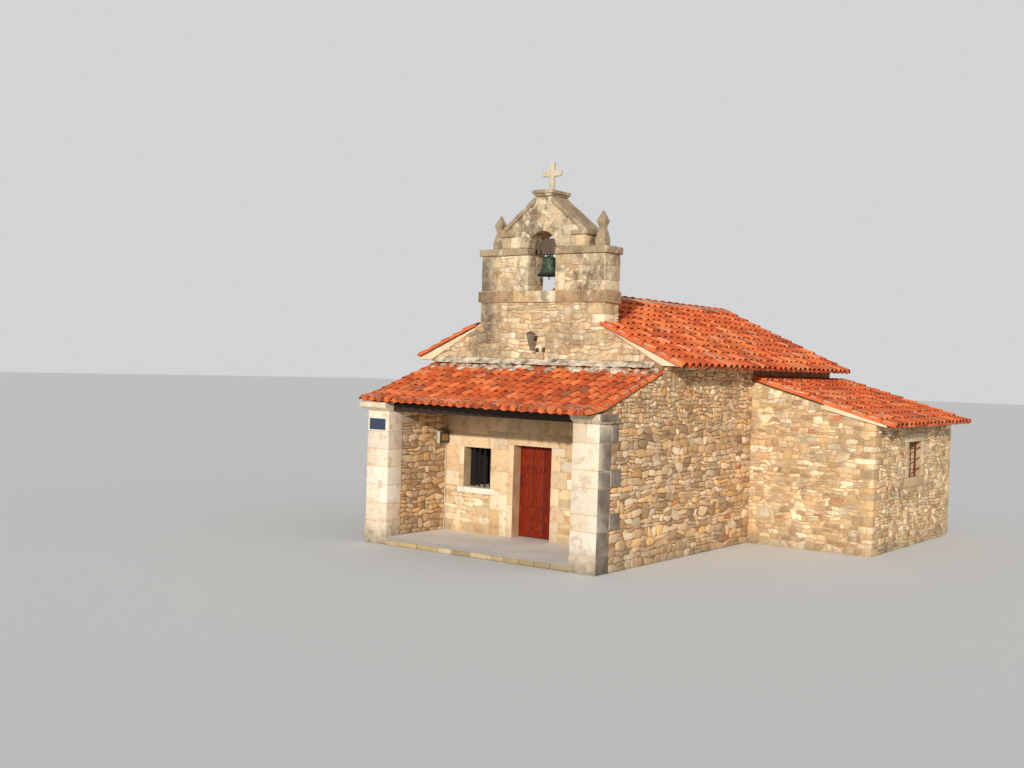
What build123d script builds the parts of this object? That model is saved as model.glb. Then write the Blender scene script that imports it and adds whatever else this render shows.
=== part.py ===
"""Small rubble-stone chapel with an open porch, a bell gable and a side sacristy.

Millimetres, +Z up. X runs across the front, Y runs from the porch to the rear gable. The origin is
the centre of the nave floor's underside, at ground level.
"""

import os

from build123d import *

# Nave
nave_room_width = 5000
nave_room_length = 7840
wall_thickness = 600
gable_thickness = 580
floor_height = 180

# Roof tiles: rows of cover tiles that stand over the bed as ribs down the slopes
rib_width = 170
rib_height = 60
rib_taper = 35
nave_rib_count = 32
sacristy_rib_count = 20
porch_rib_count = 26

# Nave roof: tiled slopes, with a vertical covering depth for boards, bedding and tiles together
ridge_height = 5785
roof_pitch = 0.44
nave_cover_height = 120
left_eaves_overhang = 400
right_eaves_overhang = 590
front_verge_overhang = 130
rear_verge_overhang = 100
ridge_tile_radius = 110
band_depth = 230
band_head_depth = 60
band_projection = 25
kneeler_depth = 300
kneeler_lip = 60
purlin_width = 150
purlin_height = 200

# Facade wall below the porch roof, with the doorway and the window
facade_ledge = 335
door_centre = 138
door_width = 1016
door_height = 2050
door_reveal_depth = 270
window_centre = -1385
window_width = 770
window_height = 903
window_sill_height = 1208
lintel_top = 2500
lintel_bearing_length = 150
sill_thickness = 140
sill_projection = 60
sill_overlap = 150

# Porch: side walls that end in piers, a beam, rafters and a lean-to roof with a flatter eaves
porch_depth = 1990
porch_left_face = -2900
pier_width = 600
pier_depth = 450
pier_height = 2910
capital_height = 200
capital_overhang = 160
capital_front_overhang = 150
capital_cove_height = 80
porch_clearance = 5
eaves_reach_left = 195
eaves_reach_right = 640
eaves_pitch = 0.1
verge_overhang = 150
lean_to_cover_height = 165
beam_width = 200
beam_setback = 150
beam_bearing_length = 250
rafter_width = 80
rafter_height = 100
rafter_count = 6
kerb_height = 110
kerb_width = 220
flashing_height = 100
flashing_reach = 200
seat_gap = 0.3

# Bell gable
belfry_width = 3310
belfry_base_height = 473
string_height = 250
belfry_pier_height = 800
impost_height = 160
course_projection = 60
bell_opening = 730
attic_width = 2220
attic_height = 250
coping_height = 100
coping_depth = 130
coping_overhang = 80
stub_length = 420
pediment_height = 780
cap_width = 420
cap_step = 60
cap_height = 80
cap_lip = 40
cross_height = 660
cross_shaft = 125
cross_depth = 80
cross_span = 500
cross_arm = 130
cross_arm_height = 335
pinnacle_width = 245
pinnacle_base = 170
pinnacle_neck = 130
pinnacle_neck_height = 410
pinnacle_cap = 220
pinnacle_cap_height = 555
pinnacle_height = 790
pinnacle_tip = 30

# Bell, yoke and clapper
axle_drop = 70
axle_radius = 16
axle_clearance = 0.3
axle_end_gap = 5
bearing_thickness = 30
bearing_size = 100
yoke_length = 600
yoke_depth = 120
yoke_drop = 60
yoke_rise = 290
yoke_top_length = 260
bell_radius = 280
bell_height = 430
bell_wall_thickness = 26
bell_crown_thickness = 39
canon_height = 50
canon_radius = 34
clapper_pivot_drop = 70
clapper_rod = 11
clapper_ball = 42
clapper_length = 335
clapper_tail = 70
clapper_eye = 17
clapper_eye_width = 20
staple_pin = 6
staple_cheek = 12
staple_clearance = 0.3
staple_gap = 5

# Door
leaf_thickness = 45
leaf_gap = 8
leaf_overlap = 25
leaf_floor_gap = 10
rebate_left = 45
rebate_right = 120
rebate_top = 45
hinge_offset = 60
hinge_pin_radius = 8
hinge_eye_radius = 17
hinge_clearance = 0.3
hinge_height = 44
hinge_strap = 8
hinge_length = 420
hinge_levels = (420, 1700)
handle_radius = 10
handle_length = 250
handle_height = 1120
handle_inset = 60
handle_standoff = 45

# Sacristy
sacristy_rear_projection = 800
sacristy_length = 5500
sacristy_width = 2980
sacristy_wall_thickness = 500
sacristy_top = 3980
sacristy_pitch = 0.28
sacristy_eaves_overhang = 520
sacristy_verge_overhang = 100
sacristy_window_offset = 2290
sacristy_window_width = 950
sacristy_window_height = 840
sacristy_window_sill = 1630

# Wall fittings
lamp_rise = 180
lamp_reach = 280
lamp_offset = -45
lamp_tube = 14
lantern_top = 110
lantern_foot = 40
lantern_height = 330
lantern_rise = 70
meter_width = 350
meter_height = 280
meter_depth = 100
meter_level = 2160
conduit_radius = 14

# Places worked out from the sizes above
half_room = nave_room_width / 2
wall_face = half_room + wall_thickness
room_front = -nave_room_length / 2
room_rear = nave_room_length / 2
nave_front = room_front - gable_thickness
nave_rear = room_rear + wall_thickness
facade_front = nave_front - facade_ledge
porch_front = facade_front - porch_depth
porch_left_inner = porch_left_face + pier_width
porch_right_inner = wall_face - pier_width
belfry_half = belfry_width / 2
opening_half = bell_opening / 2
belfry_middle = (nave_front + room_front) / 2
door_left = door_centre - door_width / 2
door_right = door_centre + door_width / 2
door_top = floor_height + door_height
window_left = window_centre - window_width / 2
window_right = window_centre + window_width / 2
window_top = window_sill_height + window_height
rebate_front = facade_front + door_reveal_depth
sacristy_rear = nave_rear + sacristy_rear_projection
sacristy_front = sacristy_rear - sacristy_length
sacristy_window_front = sacristy_front + sacristy_window_offset
sacristy_face = wall_face + sacristy_width
sacristy_inner_face = sacristy_face - sacristy_wall_thickness


def nave_roof_top(x):
    """Height of the nave's tiled surface at a distance from the ridge."""
    return ridge_height - roof_pitch * abs(x)


def nave_roof_under(x):
    return nave_roof_top(x) - nave_cover_height


kneeler_soffit = nave_roof_under(wall_face) - band_depth
porch_top = kneeler_soffit - porch_clearance


porch_kink_height = pier_height + capital_height + seat_gap + eaves_pitch * capital_front_overhang
porch_pitch = (porch_top - lean_to_cover_height - porch_kink_height) / (nave_front - porch_front)


def porch_roof_under(y):
    """Height of the porch roof's underside: it bears on the capitals, and flattens in front of the piers."""
    pitch = eaves_pitch if y < porch_front else porch_pitch
    return porch_kink_height + pitch * (y - porch_front)


def porch_roof_top(y):
    return porch_roof_under(y) + lean_to_cover_height


def sacristy_roof_under(x):
    return sacristy_top - sacristy_pitch * (x - wall_face) - lean_to_cover_height


def tile_grooves(start, end, rib_count, surface):
    """Outlines of the gaps between the ribs of a roof, where the top of the ribs is at the surface height."""
    pitch = (end - start - rib_width) / (rib_count - 1)
    bed = surface - rib_height
    for number in range(rib_count - 1):
        left = start + number * pitch + rib_width
        right = start + (number + 1) * pitch
        yield (
            (left, bed),
            (right, bed),
            (right + 2 * rib_taper, bed + 2 * rib_height),
            (left - 2 * rib_taper, bed + 2 * rib_height),
        )


os.makedirs("parts", exist_ok=True)


def save(piece, name):
    piece.part.label = name
    export_step(piece.part, f"parts/{name}.step")


def block(name, x_range, y_range, z_range):
    """A plain course of masonry between two faces on each axis."""
    with BuildPart() as piece:
        with BuildSketch(Plane.XY.offset(z_range[0])):
            with Locations(((x_range[0] + x_range[1]) / 2, (y_range[0] + y_range[1]) / 2)):
                Rectangle(x_range[1] - x_range[0], y_range[1] - y_range[0])
        extrude(amount=z_range[1] - z_range[0])
    save(piece, name)


def front_profile(name, points, y_range):
    """A piece with its outline in the XZ plane, running from front to back."""
    with BuildPart() as piece:
        with BuildSketch(Plane.XZ.offset(-y_range[0])):
            with BuildLine():
                Polyline(*points, close=True)
            make_face()
        extrude(amount=-(y_range[1] - y_range[0]))
    save(piece, name)


def side_profile(name, points, x_range):
    """A piece with its outline in the YZ plane, running from left to right."""
    with BuildPart() as piece:
        with BuildSketch(Plane.YZ.offset(x_range[0])):
            with BuildLine():
                Polyline(*points, close=True)
            make_face()
        extrude(amount=x_range[1] - x_range[0])
    save(piece, name)


def plan_profile(name, points, z_range):
    """A piece with its outline in plan, running upwards."""
    with BuildPart() as piece:
        with BuildSketch(Plane.XY.offset(z_range[0])):
            with BuildLine():
                Polyline(*points, close=True)
            make_face()
        extrude(amount=z_range[1] - z_range[0])
    save(piece, name)


# Floors: a slab inside the nave that reaches out through the doorway, and the porch slab on its kerb
plan_profile(
    "nave_floor",
    [
        (-half_room, room_rear),
        (-half_room, room_front),
        (door_left - rebate_left, room_front),
        (door_left - rebate_left, rebate_front),
        (door_left, rebate_front),
        (door_left, facade_front),
        (door_right, facade_front),
        (door_right, rebate_front),
        (door_right + rebate_right, rebate_front),
        (door_right + rebate_right, room_front),
        (half_room, room_front),
        (half_room, room_rear),
    ],
    (0, floor_height),
)
side_profile(
    "porch_floor",
    [
        (porch_front, kerb_height),
        (porch_front + kerb_width, kerb_height),
        (porch_front + kerb_width, 0),
        (facade_front, 0),
        (facade_front, floor_height),
        (porch_front, floor_height),
    ],
    (porch_left_inner, porch_right_inner),
)
block(
    "porch_kerb",
    (porch_left_inner, porch_right_inner),
    (porch_front, porch_front + kerb_width),
    (0, kerb_height),
)

# Facade wall, in pieces around the window and the doorway
lintel_x = {
    "window": (window_left - lintel_bearing_length, window_right + lintel_bearing_length),
    "door": (door_left - lintel_bearing_length, door_right + lintel_bearing_length),
}
with BuildPart() as facade_left:
    with BuildSketch(Plane.XY):
        with BuildLine():
            Polyline(
                (porch_left_inner, facade_front),
                (window_left, facade_front),
                (window_left, room_front),
                (-half_room, room_front),
                (-half_room, nave_front),
                (porch_left_inner, nave_front),
                close=True,
            )
        make_face()
    extrude(amount=lintel_top)
    with BuildSketch(Plane.XY.offset(window_top)):
        with Locations((window_left, (facade_front + room_front) / 2)):
            Rectangle(2 * lintel_bearing_length, room_front - facade_front)
    extrude(amount=lintel_top - window_top, mode=Mode.SUBTRACT)
save(facade_left, "facade_left")

block(
    "facade_under_window",
    (window_left, window_right),
    (facade_front, room_front),
    (0, window_sill_height - sill_thickness),
)

with BuildPart() as facade_centre:
    with BuildSketch(Plane.XY):
        with BuildLine():
            Polyline(
                (window_right, facade_front),
                (door_left, facade_front),
                (door_left, rebate_front),
                (door_left - rebate_left, rebate_front),
                (door_left - rebate_left, room_front),
                (window_right, room_front),
                close=True,
            )
        make_face()
    extrude(amount=lintel_top)
    with BuildSketch(Plane.XY.offset(window_top)):
        with Locations((window_right, (facade_front + room_front) / 2)):
            Rectangle(2 * lintel_bearing_length, room_front - facade_front)
    extrude(amount=lintel_top - window_top, mode=Mode.SUBTRACT)
    with BuildSketch(Plane.XY.offset(door_top)):
        with Locations((door_left, (facade_front + room_front) / 2)):
            Rectangle(2 * lintel_bearing_length, room_front - facade_front)
    extrude(amount=lintel_top - door_top, mode=Mode.SUBTRACT)
save(facade_centre, "facade_centre")

with BuildPart() as facade_right:
    with BuildSketch(Plane.XY):
        with BuildLine():
            Polyline(
                (door_right, facade_front),
                (porch_right_inner, facade_front),
                (porch_right_inner, room_front),
                (door_right + rebate_right, room_front),
                (door_right + rebate_right, rebate_front),
                (door_right, rebate_front),
                close=True,
            )
        make_face()
    extrude(amount=lintel_top)
    with BuildSketch(Plane.XY.offset(door_top)):
        with Locations((door_right, (facade_front + room_front) / 2)):
            Rectangle(2 * lintel_bearing_length, room_front - facade_front)
    extrude(amount=lintel_top - door_top, mode=Mode.SUBTRACT)
save(facade_right, "facade_right")

block("window_lintel", lintel_x["window"], (facade_front, room_front), (window_top, lintel_top))
side_profile(
    "door_lintel",
    [
        (facade_front, door_top),
        (rebate_front, door_top),
        (rebate_front, door_top + rebate_top),
        (room_front, door_top + rebate_top),
        (room_front, lintel_top),
        (facade_front, lintel_top),
    ],
    lintel_x["door"],
)

# The facade's head ends in the ledge that carries the porch rafters
facade_top = porch_roof_under(facade_front) - rafter_height
plan_profile(
    "facade_head",
    [
        (porch_left_inner, facade_front),
        (porch_right_inner, facade_front),
        (half_room, room_front),
        (-half_room, room_front),
        (-half_room, nave_front),
        (porch_left_inner, nave_front),
    ],
    (lintel_top, facade_top),
)

# The window's sill: a dressed slab that stands proud of the wall and runs through it
with BuildPart() as window_sill:
    with BuildSketch(Plane.XY.offset(window_sill_height - sill_thickness)):
        with Locations((window_centre, facade_front - sill_projection / 2)):
            Rectangle(window_width + 2 * sill_overlap, sill_projection)
        with Locations((window_centre, (facade_front + room_front) / 2)):
            Rectangle(window_width, room_front - facade_front)
    extrude(amount=sill_thickness)
    chamfer(
        window_sill.edges().filter_by(Axis.X).group_by(Axis.Y)[0].sort_by(Axis.Z)[-1],
        length=sill_projection / 4,
    )
save(window_sill, "window_sill")

# Porch side walls run up to the roof's underside and bear on the capitals in front
beam_front = porch_front + beam_setback
beam_back = beam_front + beam_width
beam_y = (beam_front + beam_back) / 2
pier_back = porch_front + pier_depth
capital_top = pier_height + capital_height
wedge_front = porch_front + beam_setback / 2
pier_centres = (porch_left_face + pier_width / 2, wall_face - pier_width / 2)
with BuildPart() as porch_walls:
    for centre in pier_centres:
        with BuildSketch(Plane.YZ.offset(centre - pier_width / 2)):
            with BuildLine():
                Polyline(
                    (pier_back, 0),
                    (nave_front, 0),
                    (nave_front, porch_roof_under(nave_front)),
                    (wedge_front, porch_roof_under(wedge_front)),
                    (wedge_front, capital_top),
                    (pier_back, capital_top),
                    close=True,
                )
            make_face()
        extrude(amount=pier_width)
    with BuildSketch(Plane.XY.offset(capital_top)):
        for inner in (porch_left_inner, porch_right_inner):
            with Locations((inner, beam_y)):
                Rectangle(2 * beam_bearing_length, beam_width)
    extrude(amount=porch_top, mode=Mode.SUBTRACT)
save(porch_walls, "porch_walls")

with BuildPart() as porch_piers:
    with BuildSketch(Plane.XY):
        for centre in pier_centres:
            with Locations((centre, (porch_front + pier_back) / 2)):
                Rectangle(pier_width, pier_depth)
    extrude(amount=pier_height)
save(porch_piers, "porch_piers")

# Capitals: a cove under a plain slab, overhanging in front and on the outer side
with BuildPart() as pier_capitals:
    for centre, outward in zip(pier_centres, (-1, 1)):
        slab_centre = (
            centre + outward * capital_overhang / 2,
            (porch_front + pier_back - capital_front_overhang) / 2,
        )
        with BuildPart(mode=Mode.PRIVATE) as capital:
            with BuildSketch(Plane.XY.offset(pier_height)):
                with Locations((centre, (porch_front + pier_back) / 2)):
                    Rectangle(pier_width, pier_depth)
            with BuildSketch(Plane.XY.offset(pier_height + capital_cove_height)):
                with Locations(slab_centre):
                    Rectangle(pier_width + capital_overhang, pier_depth + capital_front_overhang)
            loft()
            with BuildSketch(Plane.XY.offset(pier_height + capital_cove_height)):
                with Locations(slab_centre):
                    Rectangle(pier_width + capital_overhang, pier_depth + capital_front_overhang)
            extrude(amount=capital_height - capital_cove_height)
        add(capital.part)
    with BuildSketch(Plane.XY.offset(pier_height)):
        for inner in (porch_left_inner, porch_right_inner):
            with Locations((inner, beam_y)):
                Rectangle(2 * beam_bearing_length, beam_width)
    extrude(amount=capital_height, mode=Mode.SUBTRACT)
save(pier_capitals, "pier_capitals")

# Porch beam from pier to pier, and the rafters from the beam to the facade ledge
side_profile(
    "porch_beam",
    [
        (beam_front, pier_height),
        (beam_back, pier_height),
        (beam_back, porch_roof_under(beam_back) - rafter_height),
        (beam_front, porch_roof_under(beam_front) - rafter_height),
    ],
    (porch_left_inner - beam_bearing_length, porch_right_inner + beam_bearing_length),
)
with BuildPart() as porch_rafters:
    rafter_span = porch_right_inner - porch_left_inner
    rafter_step = rafter_span / rafter_count
    for number in range(rafter_count):
        rafter_left = porch_left_inner + (number + 0.5) * rafter_step - rafter_width / 2
        with BuildSketch(Plane.YZ.offset(rafter_left)):
            with BuildLine():
                Polyline(
                    (beam_front, porch_roof_under(beam_front) - rafter_height),
                    (nave_front, porch_roof_under(nave_front) - rafter_height),
                    (nave_front, porch_roof_under(nave_front)),
                    (beam_front, porch_roof_under(beam_front)),
                    close=True,
                )
            make_face()
        extrude(amount=rafter_width)
save(porch_rafters, "porch_rafters")

# Porch roof: its eaves run out of square, and its ribs end under the flashing
eaves_y = porch_front - eaves_reach_right
porch_roof_left = porch_left_face - verge_overhang
porch_roof_right = wall_face + verge_overhang / 2
with BuildPart() as porch_roof:
    with BuildSketch(Plane.YZ.offset(porch_roof_left)):
        with BuildLine():
            Polyline(
                (nave_front, porch_roof_under(nave_front)),
                (porch_front, porch_roof_under(porch_front)),
                (eaves_y, porch_roof_under(eaves_y)),
                (eaves_y, porch_roof_top(eaves_y)),
                (porch_front, porch_roof_top(porch_front)),
                (nave_front, porch_roof_top(nave_front)),
                close=True,
            )
        make_face()
    extrude(amount=porch_roof_right - porch_roof_left)
    with BuildSketch(Plane.XZ.offset(-porch_front)) as grooves:
        for outline in tile_grooves(
            porch_roof_left, porch_roof_right, porch_rib_count, porch_roof_top(porch_front)
        ):
            with BuildLine():
                Polyline(*outline, close=True)
            make_face()
    rise = Vector(0, 1, porch_pitch) * (nave_front - flashing_reach - porch_front)
    extrude(amount=rise.length, dir=rise, mode=Mode.SUBTRACT)
    fall = Vector(0, -1, -eaves_pitch) * porch_depth
    extrude(grooves.sketch, amount=fall.length, dir=fall, mode=Mode.SUBTRACT)
    with BuildSketch(Plane.XY):
        with BuildLine():
            Polyline(
                (porch_roof_left, porch_front - eaves_reach_left),
                (porch_roof_right, eaves_y),
                (porch_roof_left, eaves_y),
                close=True,
            )
        make_face()
    extrude(amount=porch_top, mode=Mode.SUBTRACT)
save(porch_roof, "porch_roof")

flashing_top = porch_top + flashing_height
band_head = nave_roof_under(belfry_half) - band_head_depth
band_pitch = (band_head - kneeler_soffit) / (wall_face - belfry_half)
flashing_half = wall_face - (flashing_top - kneeler_soffit) / band_pitch
side_profile(
    "roof_flashing",
    [
        (nave_front, porch_roof_top(nave_front)),
        (nave_front, flashing_top),
        (nave_front - flashing_reach / 4, flashing_top - flashing_height / 2),
        (nave_front - flashing_reach, porch_roof_top(nave_front - flashing_reach)),
    ],
    (-flashing_half, flashing_half),
)

# Nave side walls, with tops that follow the roof's underside
with BuildPart() as nave_side_walls:
    for hand in (-1, 1):
        with BuildSketch(Plane.XZ.offset(-nave_front)):
            with BuildLine():
                Polyline(
                    (hand * half_room, 0),
                    (hand * wall_face, 0),
                    (hand * wall_face, nave_roof_under(wall_face)),
                    (hand * half_room, nave_roof_under(half_room)),
                    close=True,
                )
            make_face()
        extrude(amount=nave_front - nave_rear)
save(nave_side_walls, "nave_side_walls")

# Gable walls: the front one carries the bell gable, the rear one goes up to the ridge
front_profile(
    "front_gable_wall",
    [
        (-half_room, facade_top),
        (half_room, facade_top),
        (half_room, nave_roof_under(half_room)),
        (belfry_half, nave_roof_under(belfry_half)),
        (-belfry_half, nave_roof_under(belfry_half)),
        (-half_room, nave_roof_under(half_room)),
    ],
    (nave_front, room_front),
)
front_profile(
    "rear_gable_wall",
    [
        (-half_room, 0),
        (half_room, 0),
        (half_room, nave_roof_under(half_room)),
        (0, nave_roof_under(0)),
        (-half_room, nave_roof_under(half_room)),
    ],
    (room_rear, nave_rear),
)

# Raking plaster bands under the front verge, ending in kneelers beyond the wall
kneeler_end = wall_face + (band_depth - kneeler_lip) / roof_pitch
with BuildPart() as verge_bands:
    for hand in (-1, 1):
        with BuildSketch(Plane.XZ.offset(-(nave_front - band_projection))):
            with BuildLine():
                Polyline(
                    (hand * belfry_half, nave_roof_under(belfry_half)),
                    (hand * belfry_half, band_head),
                    (hand * wall_face, kneeler_soffit),
                    (hand * kneeler_end, kneeler_soffit),
                    (hand * kneeler_end, nave_roof_under(kneeler_end)),
                    close=True,
                )
            make_face()
        extrude(amount=-band_projection)
        with BuildSketch(Plane.XZ.offset(-nave_front)):
            with BuildLine():
                Polyline(
                    (hand * wall_face, kneeler_soffit),
                    (hand * kneeler_end, kneeler_soffit),
                    (hand * kneeler_end, nave_roof_under(kneeler_end)),
                    (hand * wall_face, nave_roof_under(wall_face)),
                    close=True,
                )
            make_face()
        extrude(amount=-kneeler_depth)
save(verge_bands, "verge_bands")

# Nave roof slopes, notched in front for the bell gable and along the top for the ridge tiles
front_verge = nave_front - front_verge_overhang
rear_verge = nave_rear + rear_verge_overhang
ridge_seat = nave_roof_top(ridge_tile_radius) - rib_height
for side, hand, overhang in (("left", -1, left_eaves_overhang), ("right", 1, right_eaves_overhang)):
    eaves_x = wall_face + overhang
    with BuildPart() as nave_roof:
        with BuildSketch(Plane.XZ.offset(-front_verge)):
            with BuildLine():
                Polyline(
                    (0, nave_roof_under(0)),
                    (hand * eaves_x, nave_roof_under(eaves_x)),
                    (hand * eaves_x, nave_roof_top(eaves_x)),
                    (0, nave_roof_top(0)),
                    close=True,
                )
            make_face()
        extrude(amount=front_verge - rear_verge)
        with BuildSketch(Plane.YZ):
            for outline in tile_grooves(front_verge, rear_verge, nave_rib_count, ridge_height):
                with BuildLine():
                    Polyline(*outline, close=True)
                make_face()
        fall = Vector(hand, 0, -roof_pitch) * ridge_height
        extrude(amount=fall.length, dir=fall, mode=Mode.SUBTRACT)
        with BuildSketch(Plane.XY.offset(nave_roof_under(eaves_x))):
            with Locations((0, (front_verge + room_front) / 2)):
                Rectangle(belfry_width, room_front - front_verge)
        extrude(amount=ridge_height, mode=Mode.SUBTRACT)
        with BuildSketch(Plane.XY.offset(ridge_seat)):
            with Locations((0, (room_front + rear_verge) / 2)):
                Rectangle(2 * ridge_tile_radius, rear_verge - room_front)
        extrude(amount=ridge_height, mode=Mode.SUBTRACT)
    save(nave_roof, f"nave_roof_{side}")

with BuildPart() as ridge_tiles:
    with BuildSketch(Plane.XZ.offset(-room_front)):
        with Locations((0, ridge_seat)):
            Circle(ridge_tile_radius)
        with Locations((0, ridge_seat - ridge_tile_radius)):
            Rectangle(2 * ridge_tile_radius, 2 * ridge_tile_radius, mode=Mode.SUBTRACT)
    extrude(amount=room_front - rear_verge)
save(ridge_tiles, "ridge_tiles")

with BuildPart() as roof_purlins:
    with BuildSketch(Plane.XZ.offset(-room_front)):
        with BuildLine():
            Polyline(
                (-purlin_width / 2, nave_roof_under(purlin_width / 2) - purlin_height),
                (purlin_width / 2, nave_roof_under(purlin_width / 2) - purlin_height),
                (purlin_width / 2, nave_roof_under(purlin_width / 2)),
                (0, nave_roof_under(0)),
                (-purlin_width / 2, nave_roof_under(purlin_width / 2)),
                close=True,
            )
        make_face()
        for hand in (-1, 1):
            purlin_inner = half_room / 2 - purlin_width / 2
            purlin_outer = half_room / 2 + purlin_width / 2
            with BuildLine():
                Polyline(
                    (hand * purlin_inner, nave_roof_under(purlin_outer) - purlin_height),
                    (hand * purlin_outer, nave_roof_under(purlin_outer) - purlin_height),
                    (hand * purlin_outer, nave_roof_under(purlin_outer)),
                    (hand * purlin_inner, nave_roof_under(purlin_inner)),
                    close=True,
                )
            make_face()
    extrude(amount=-nave_room_length)
save(roof_purlins, "roof_purlins")

# Bell gable: base, string course, two piers, imposts and the arched head
base_bottom = nave_roof_under(belfry_half)
belfry_base_top = base_bottom + belfry_base_height
string_top = belfry_base_top + string_height
impost_bottom = string_top + belfry_pier_height
spring_height = impost_bottom + impost_height
axle_height = spring_height - axle_drop
course_y = (nave_front - course_projection, room_front + course_projection)
block(
    "belfry_base",
    (-belfry_half, belfry_half),
    (nave_front, room_front),
    (base_bottom, belfry_base_top),
)
block(
    "string_course",
    (-belfry_half - course_projection, belfry_half + course_projection),
    (nave_front - course_projection, room_front),
    (belfry_base_top, string_top),
)
with BuildPart() as belfry_piers:
    for hand in (-1, 1):
        with BuildSketch(Plane.XY.offset(string_top)):
            with Locations((hand * (opening_half + belfry_half) / 2, belfry_middle)):
                Rectangle(belfry_half - opening_half, gable_thickness)
        extrude(amount=belfry_pier_height)
save(belfry_piers, "belfry_piers")
with BuildPart() as belfry_imposts:
    for hand in (-1, 1):
        impost_width = belfry_half + course_projection - opening_half
        with BuildSketch(Plane.XY.offset(impost_bottom)):
            with Locations((hand * (opening_half + impost_width / 2), belfry_middle)):
                Rectangle(impost_width, gable_thickness + 2 * course_projection)
        extrude(amount=impost_height)
save(belfry_imposts, "belfry_imposts")

# Pinnacles: square shafts that narrow to a neck under a pyramid cap
pinnacle_x = (attic_width / 2 + belfry_half) / 2
with BuildPart() as pinnacles:
    for hand in (-1, 1):
        with BuildPart(mode=Mode.PRIVATE) as pinnacle:
            for level, width in (
                (pinnacle_base, pinnacle_width),
                (pinnacle_neck_height, pinnacle_neck),
                (pinnacle_cap_height, pinnacle_cap),
                (pinnacle_height, pinnacle_tip),
            ):
                with BuildSketch(Plane.XY.offset(spring_height + level)):
                    with Locations((hand * pinnacle_x, belfry_middle)):
                        Rectangle(width, width)
            loft(ruled=True)
            with BuildSketch(Plane.XY.offset(spring_height)):
                with Locations((hand * pinnacle_x, belfry_middle)):
                    Rectangle(pinnacle_width, pinnacle_width)
            extrude(amount=pinnacle_base)
        add(pinnacle.part)
save(pinnacles, "pinnacles")

# Arched head: the attic with its round arch, rising to the cap between the raking copings
attic_half = attic_width / 2
coping_end = attic_half + coping_overhang
stub_bottom = spring_height + attic_height
stub_top = stub_bottom + coping_height
pediment_top = stub_top + pediment_height
rake = pediment_height / (coping_end - cap_width / 2)
coping_inner = cap_width / 2 + (pediment_height - coping_depth) / rake
stub_inner = coping_end - stub_length
with BuildPart() as belfry_arch:
    with BuildSketch(Plane.XZ.offset(-nave_front)):
        with BuildLine():
            Polyline(
                (attic_half, spring_height),
                (attic_half, stub_bottom),
                (stub_inner, stub_bottom),
                (stub_inner, stub_top),
                (coping_inner, stub_top),
                (cap_width / 2, pediment_top - coping_depth),
                (cap_width / 2, pediment_top),
                (-cap_width / 2, pediment_top),
                (-cap_width / 2, pediment_top - coping_depth),
                (-coping_inner, stub_top),
                (-stub_inner, stub_top),
                (-stub_inner, stub_bottom),
                (-attic_half, stub_bottom),
                (-attic_half, spring_height),
                close=True,
            )
        make_face()
        with Locations((0, spring_height)):
            Circle(opening_half, mode=Mode.SUBTRACT)
    extrude(amount=-gable_thickness)
save(belfry_arch, "belfry_arch")

with BuildPart() as pediment_copings:
    for hand in (-1, 1):
        with BuildSketch(Plane.XZ.offset(-course_y[0])):
            with BuildLine():
                Polyline(
                    (hand * stub_inner, stub_bottom),
                    (hand * coping_end, stub_bottom),
                    (hand * coping_end, stub_top),
                    (hand * cap_width / 2, pediment_top),
                    (hand * cap_width / 2, pediment_top - coping_depth),
                    (hand * coping_inner, stub_top),
                    (hand * stub_inner, stub_top),
                    close=True,
                )
            make_face()
        extrude(amount=course_y[0] - course_y[1])
save(pediment_copings, "pediment_copings")

with BuildPart() as cap_slab:
    with BuildSketch(Plane.XY.offset(pediment_top)):
        with Locations((0, belfry_middle)):
            Rectangle(cap_width + cap_lip, gable_thickness + 2 * course_projection)
    extrude(amount=cap_step)
    with BuildSketch(Plane.XY.offset(pediment_top + cap_step)):
        with Locations((0, belfry_middle)):
            Rectangle(cap_width + 3 * cap_lip, gable_thickness + 2 * course_projection + 2 * cap_lip)
    extrude(amount=cap_height)
save(cap_slab, "cap_slab")

cap_top = pediment_top + cap_step + cap_height
with BuildPart() as cross:
    with BuildSketch(Plane.XZ.offset(-(belfry_middle - cross_depth / 2))):
        with Locations((0, cap_top + cross_height / 2)):
            Rectangle(cross_shaft, cross_height)
        with Locations((0, cap_top + cross_arm_height + cross_arm / 2)):
            Rectangle(cross_span, cross_arm)
    extrude(amount=-cross_depth)
save(cross, "cross")

# Bell: a turned bronze shell with its canons under the yoke
yoke_bottom = axle_height - yoke_drop
bell_top = yoke_bottom - canon_height
bell_lip = bell_top - bell_height
with BuildPart() as bell:
    with BuildSketch(Plane.XZ.offset(-belfry_middle)):
        with BuildLine():
            Polyline(
                (0, bell_top),
                (bell_radius * 0.40, bell_top),
                (bell_radius * 0.50, bell_top - bell_height * 0.06),
                (bell_radius * 0.545, bell_top - bell_height * 0.20),
                (bell_radius * 0.60, bell_top - bell_height * 0.50),
                (bell_radius * 0.72, bell_top - bell_height * 0.76),
                (bell_radius, bell_lip + bell_wall_thickness),
                (bell_radius - bell_wall_thickness / 3, bell_lip),
                (bell_radius - bell_wall_thickness, bell_lip),
                (bell_radius * 0.72 - bell_wall_thickness, bell_top - bell_height * 0.78),
                (bell_radius * 0.60 - bell_wall_thickness, bell_top - bell_height * 0.50),
                (bell_radius * 0.545 - bell_wall_thickness, bell_top - bell_height * 0.22),
                (bell_radius * 0.36, bell_top - bell_crown_thickness),
                (0, bell_top - bell_crown_thickness),
                close=True,
            )
        make_face()
    revolve(axis=Axis((0, belfry_middle, 0), (0, 0, 1)))
    with BuildSketch(Plane.XY.offset(bell_top)):
        with Locations((0, belfry_middle)):
            Circle(canon_radius)
        with Locations((-2 * canon_radius, belfry_middle), (2 * canon_radius, belfry_middle)):
            Circle(canon_radius / 2)
    extrude(amount=canon_height)
save(bell, "bell")

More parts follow.
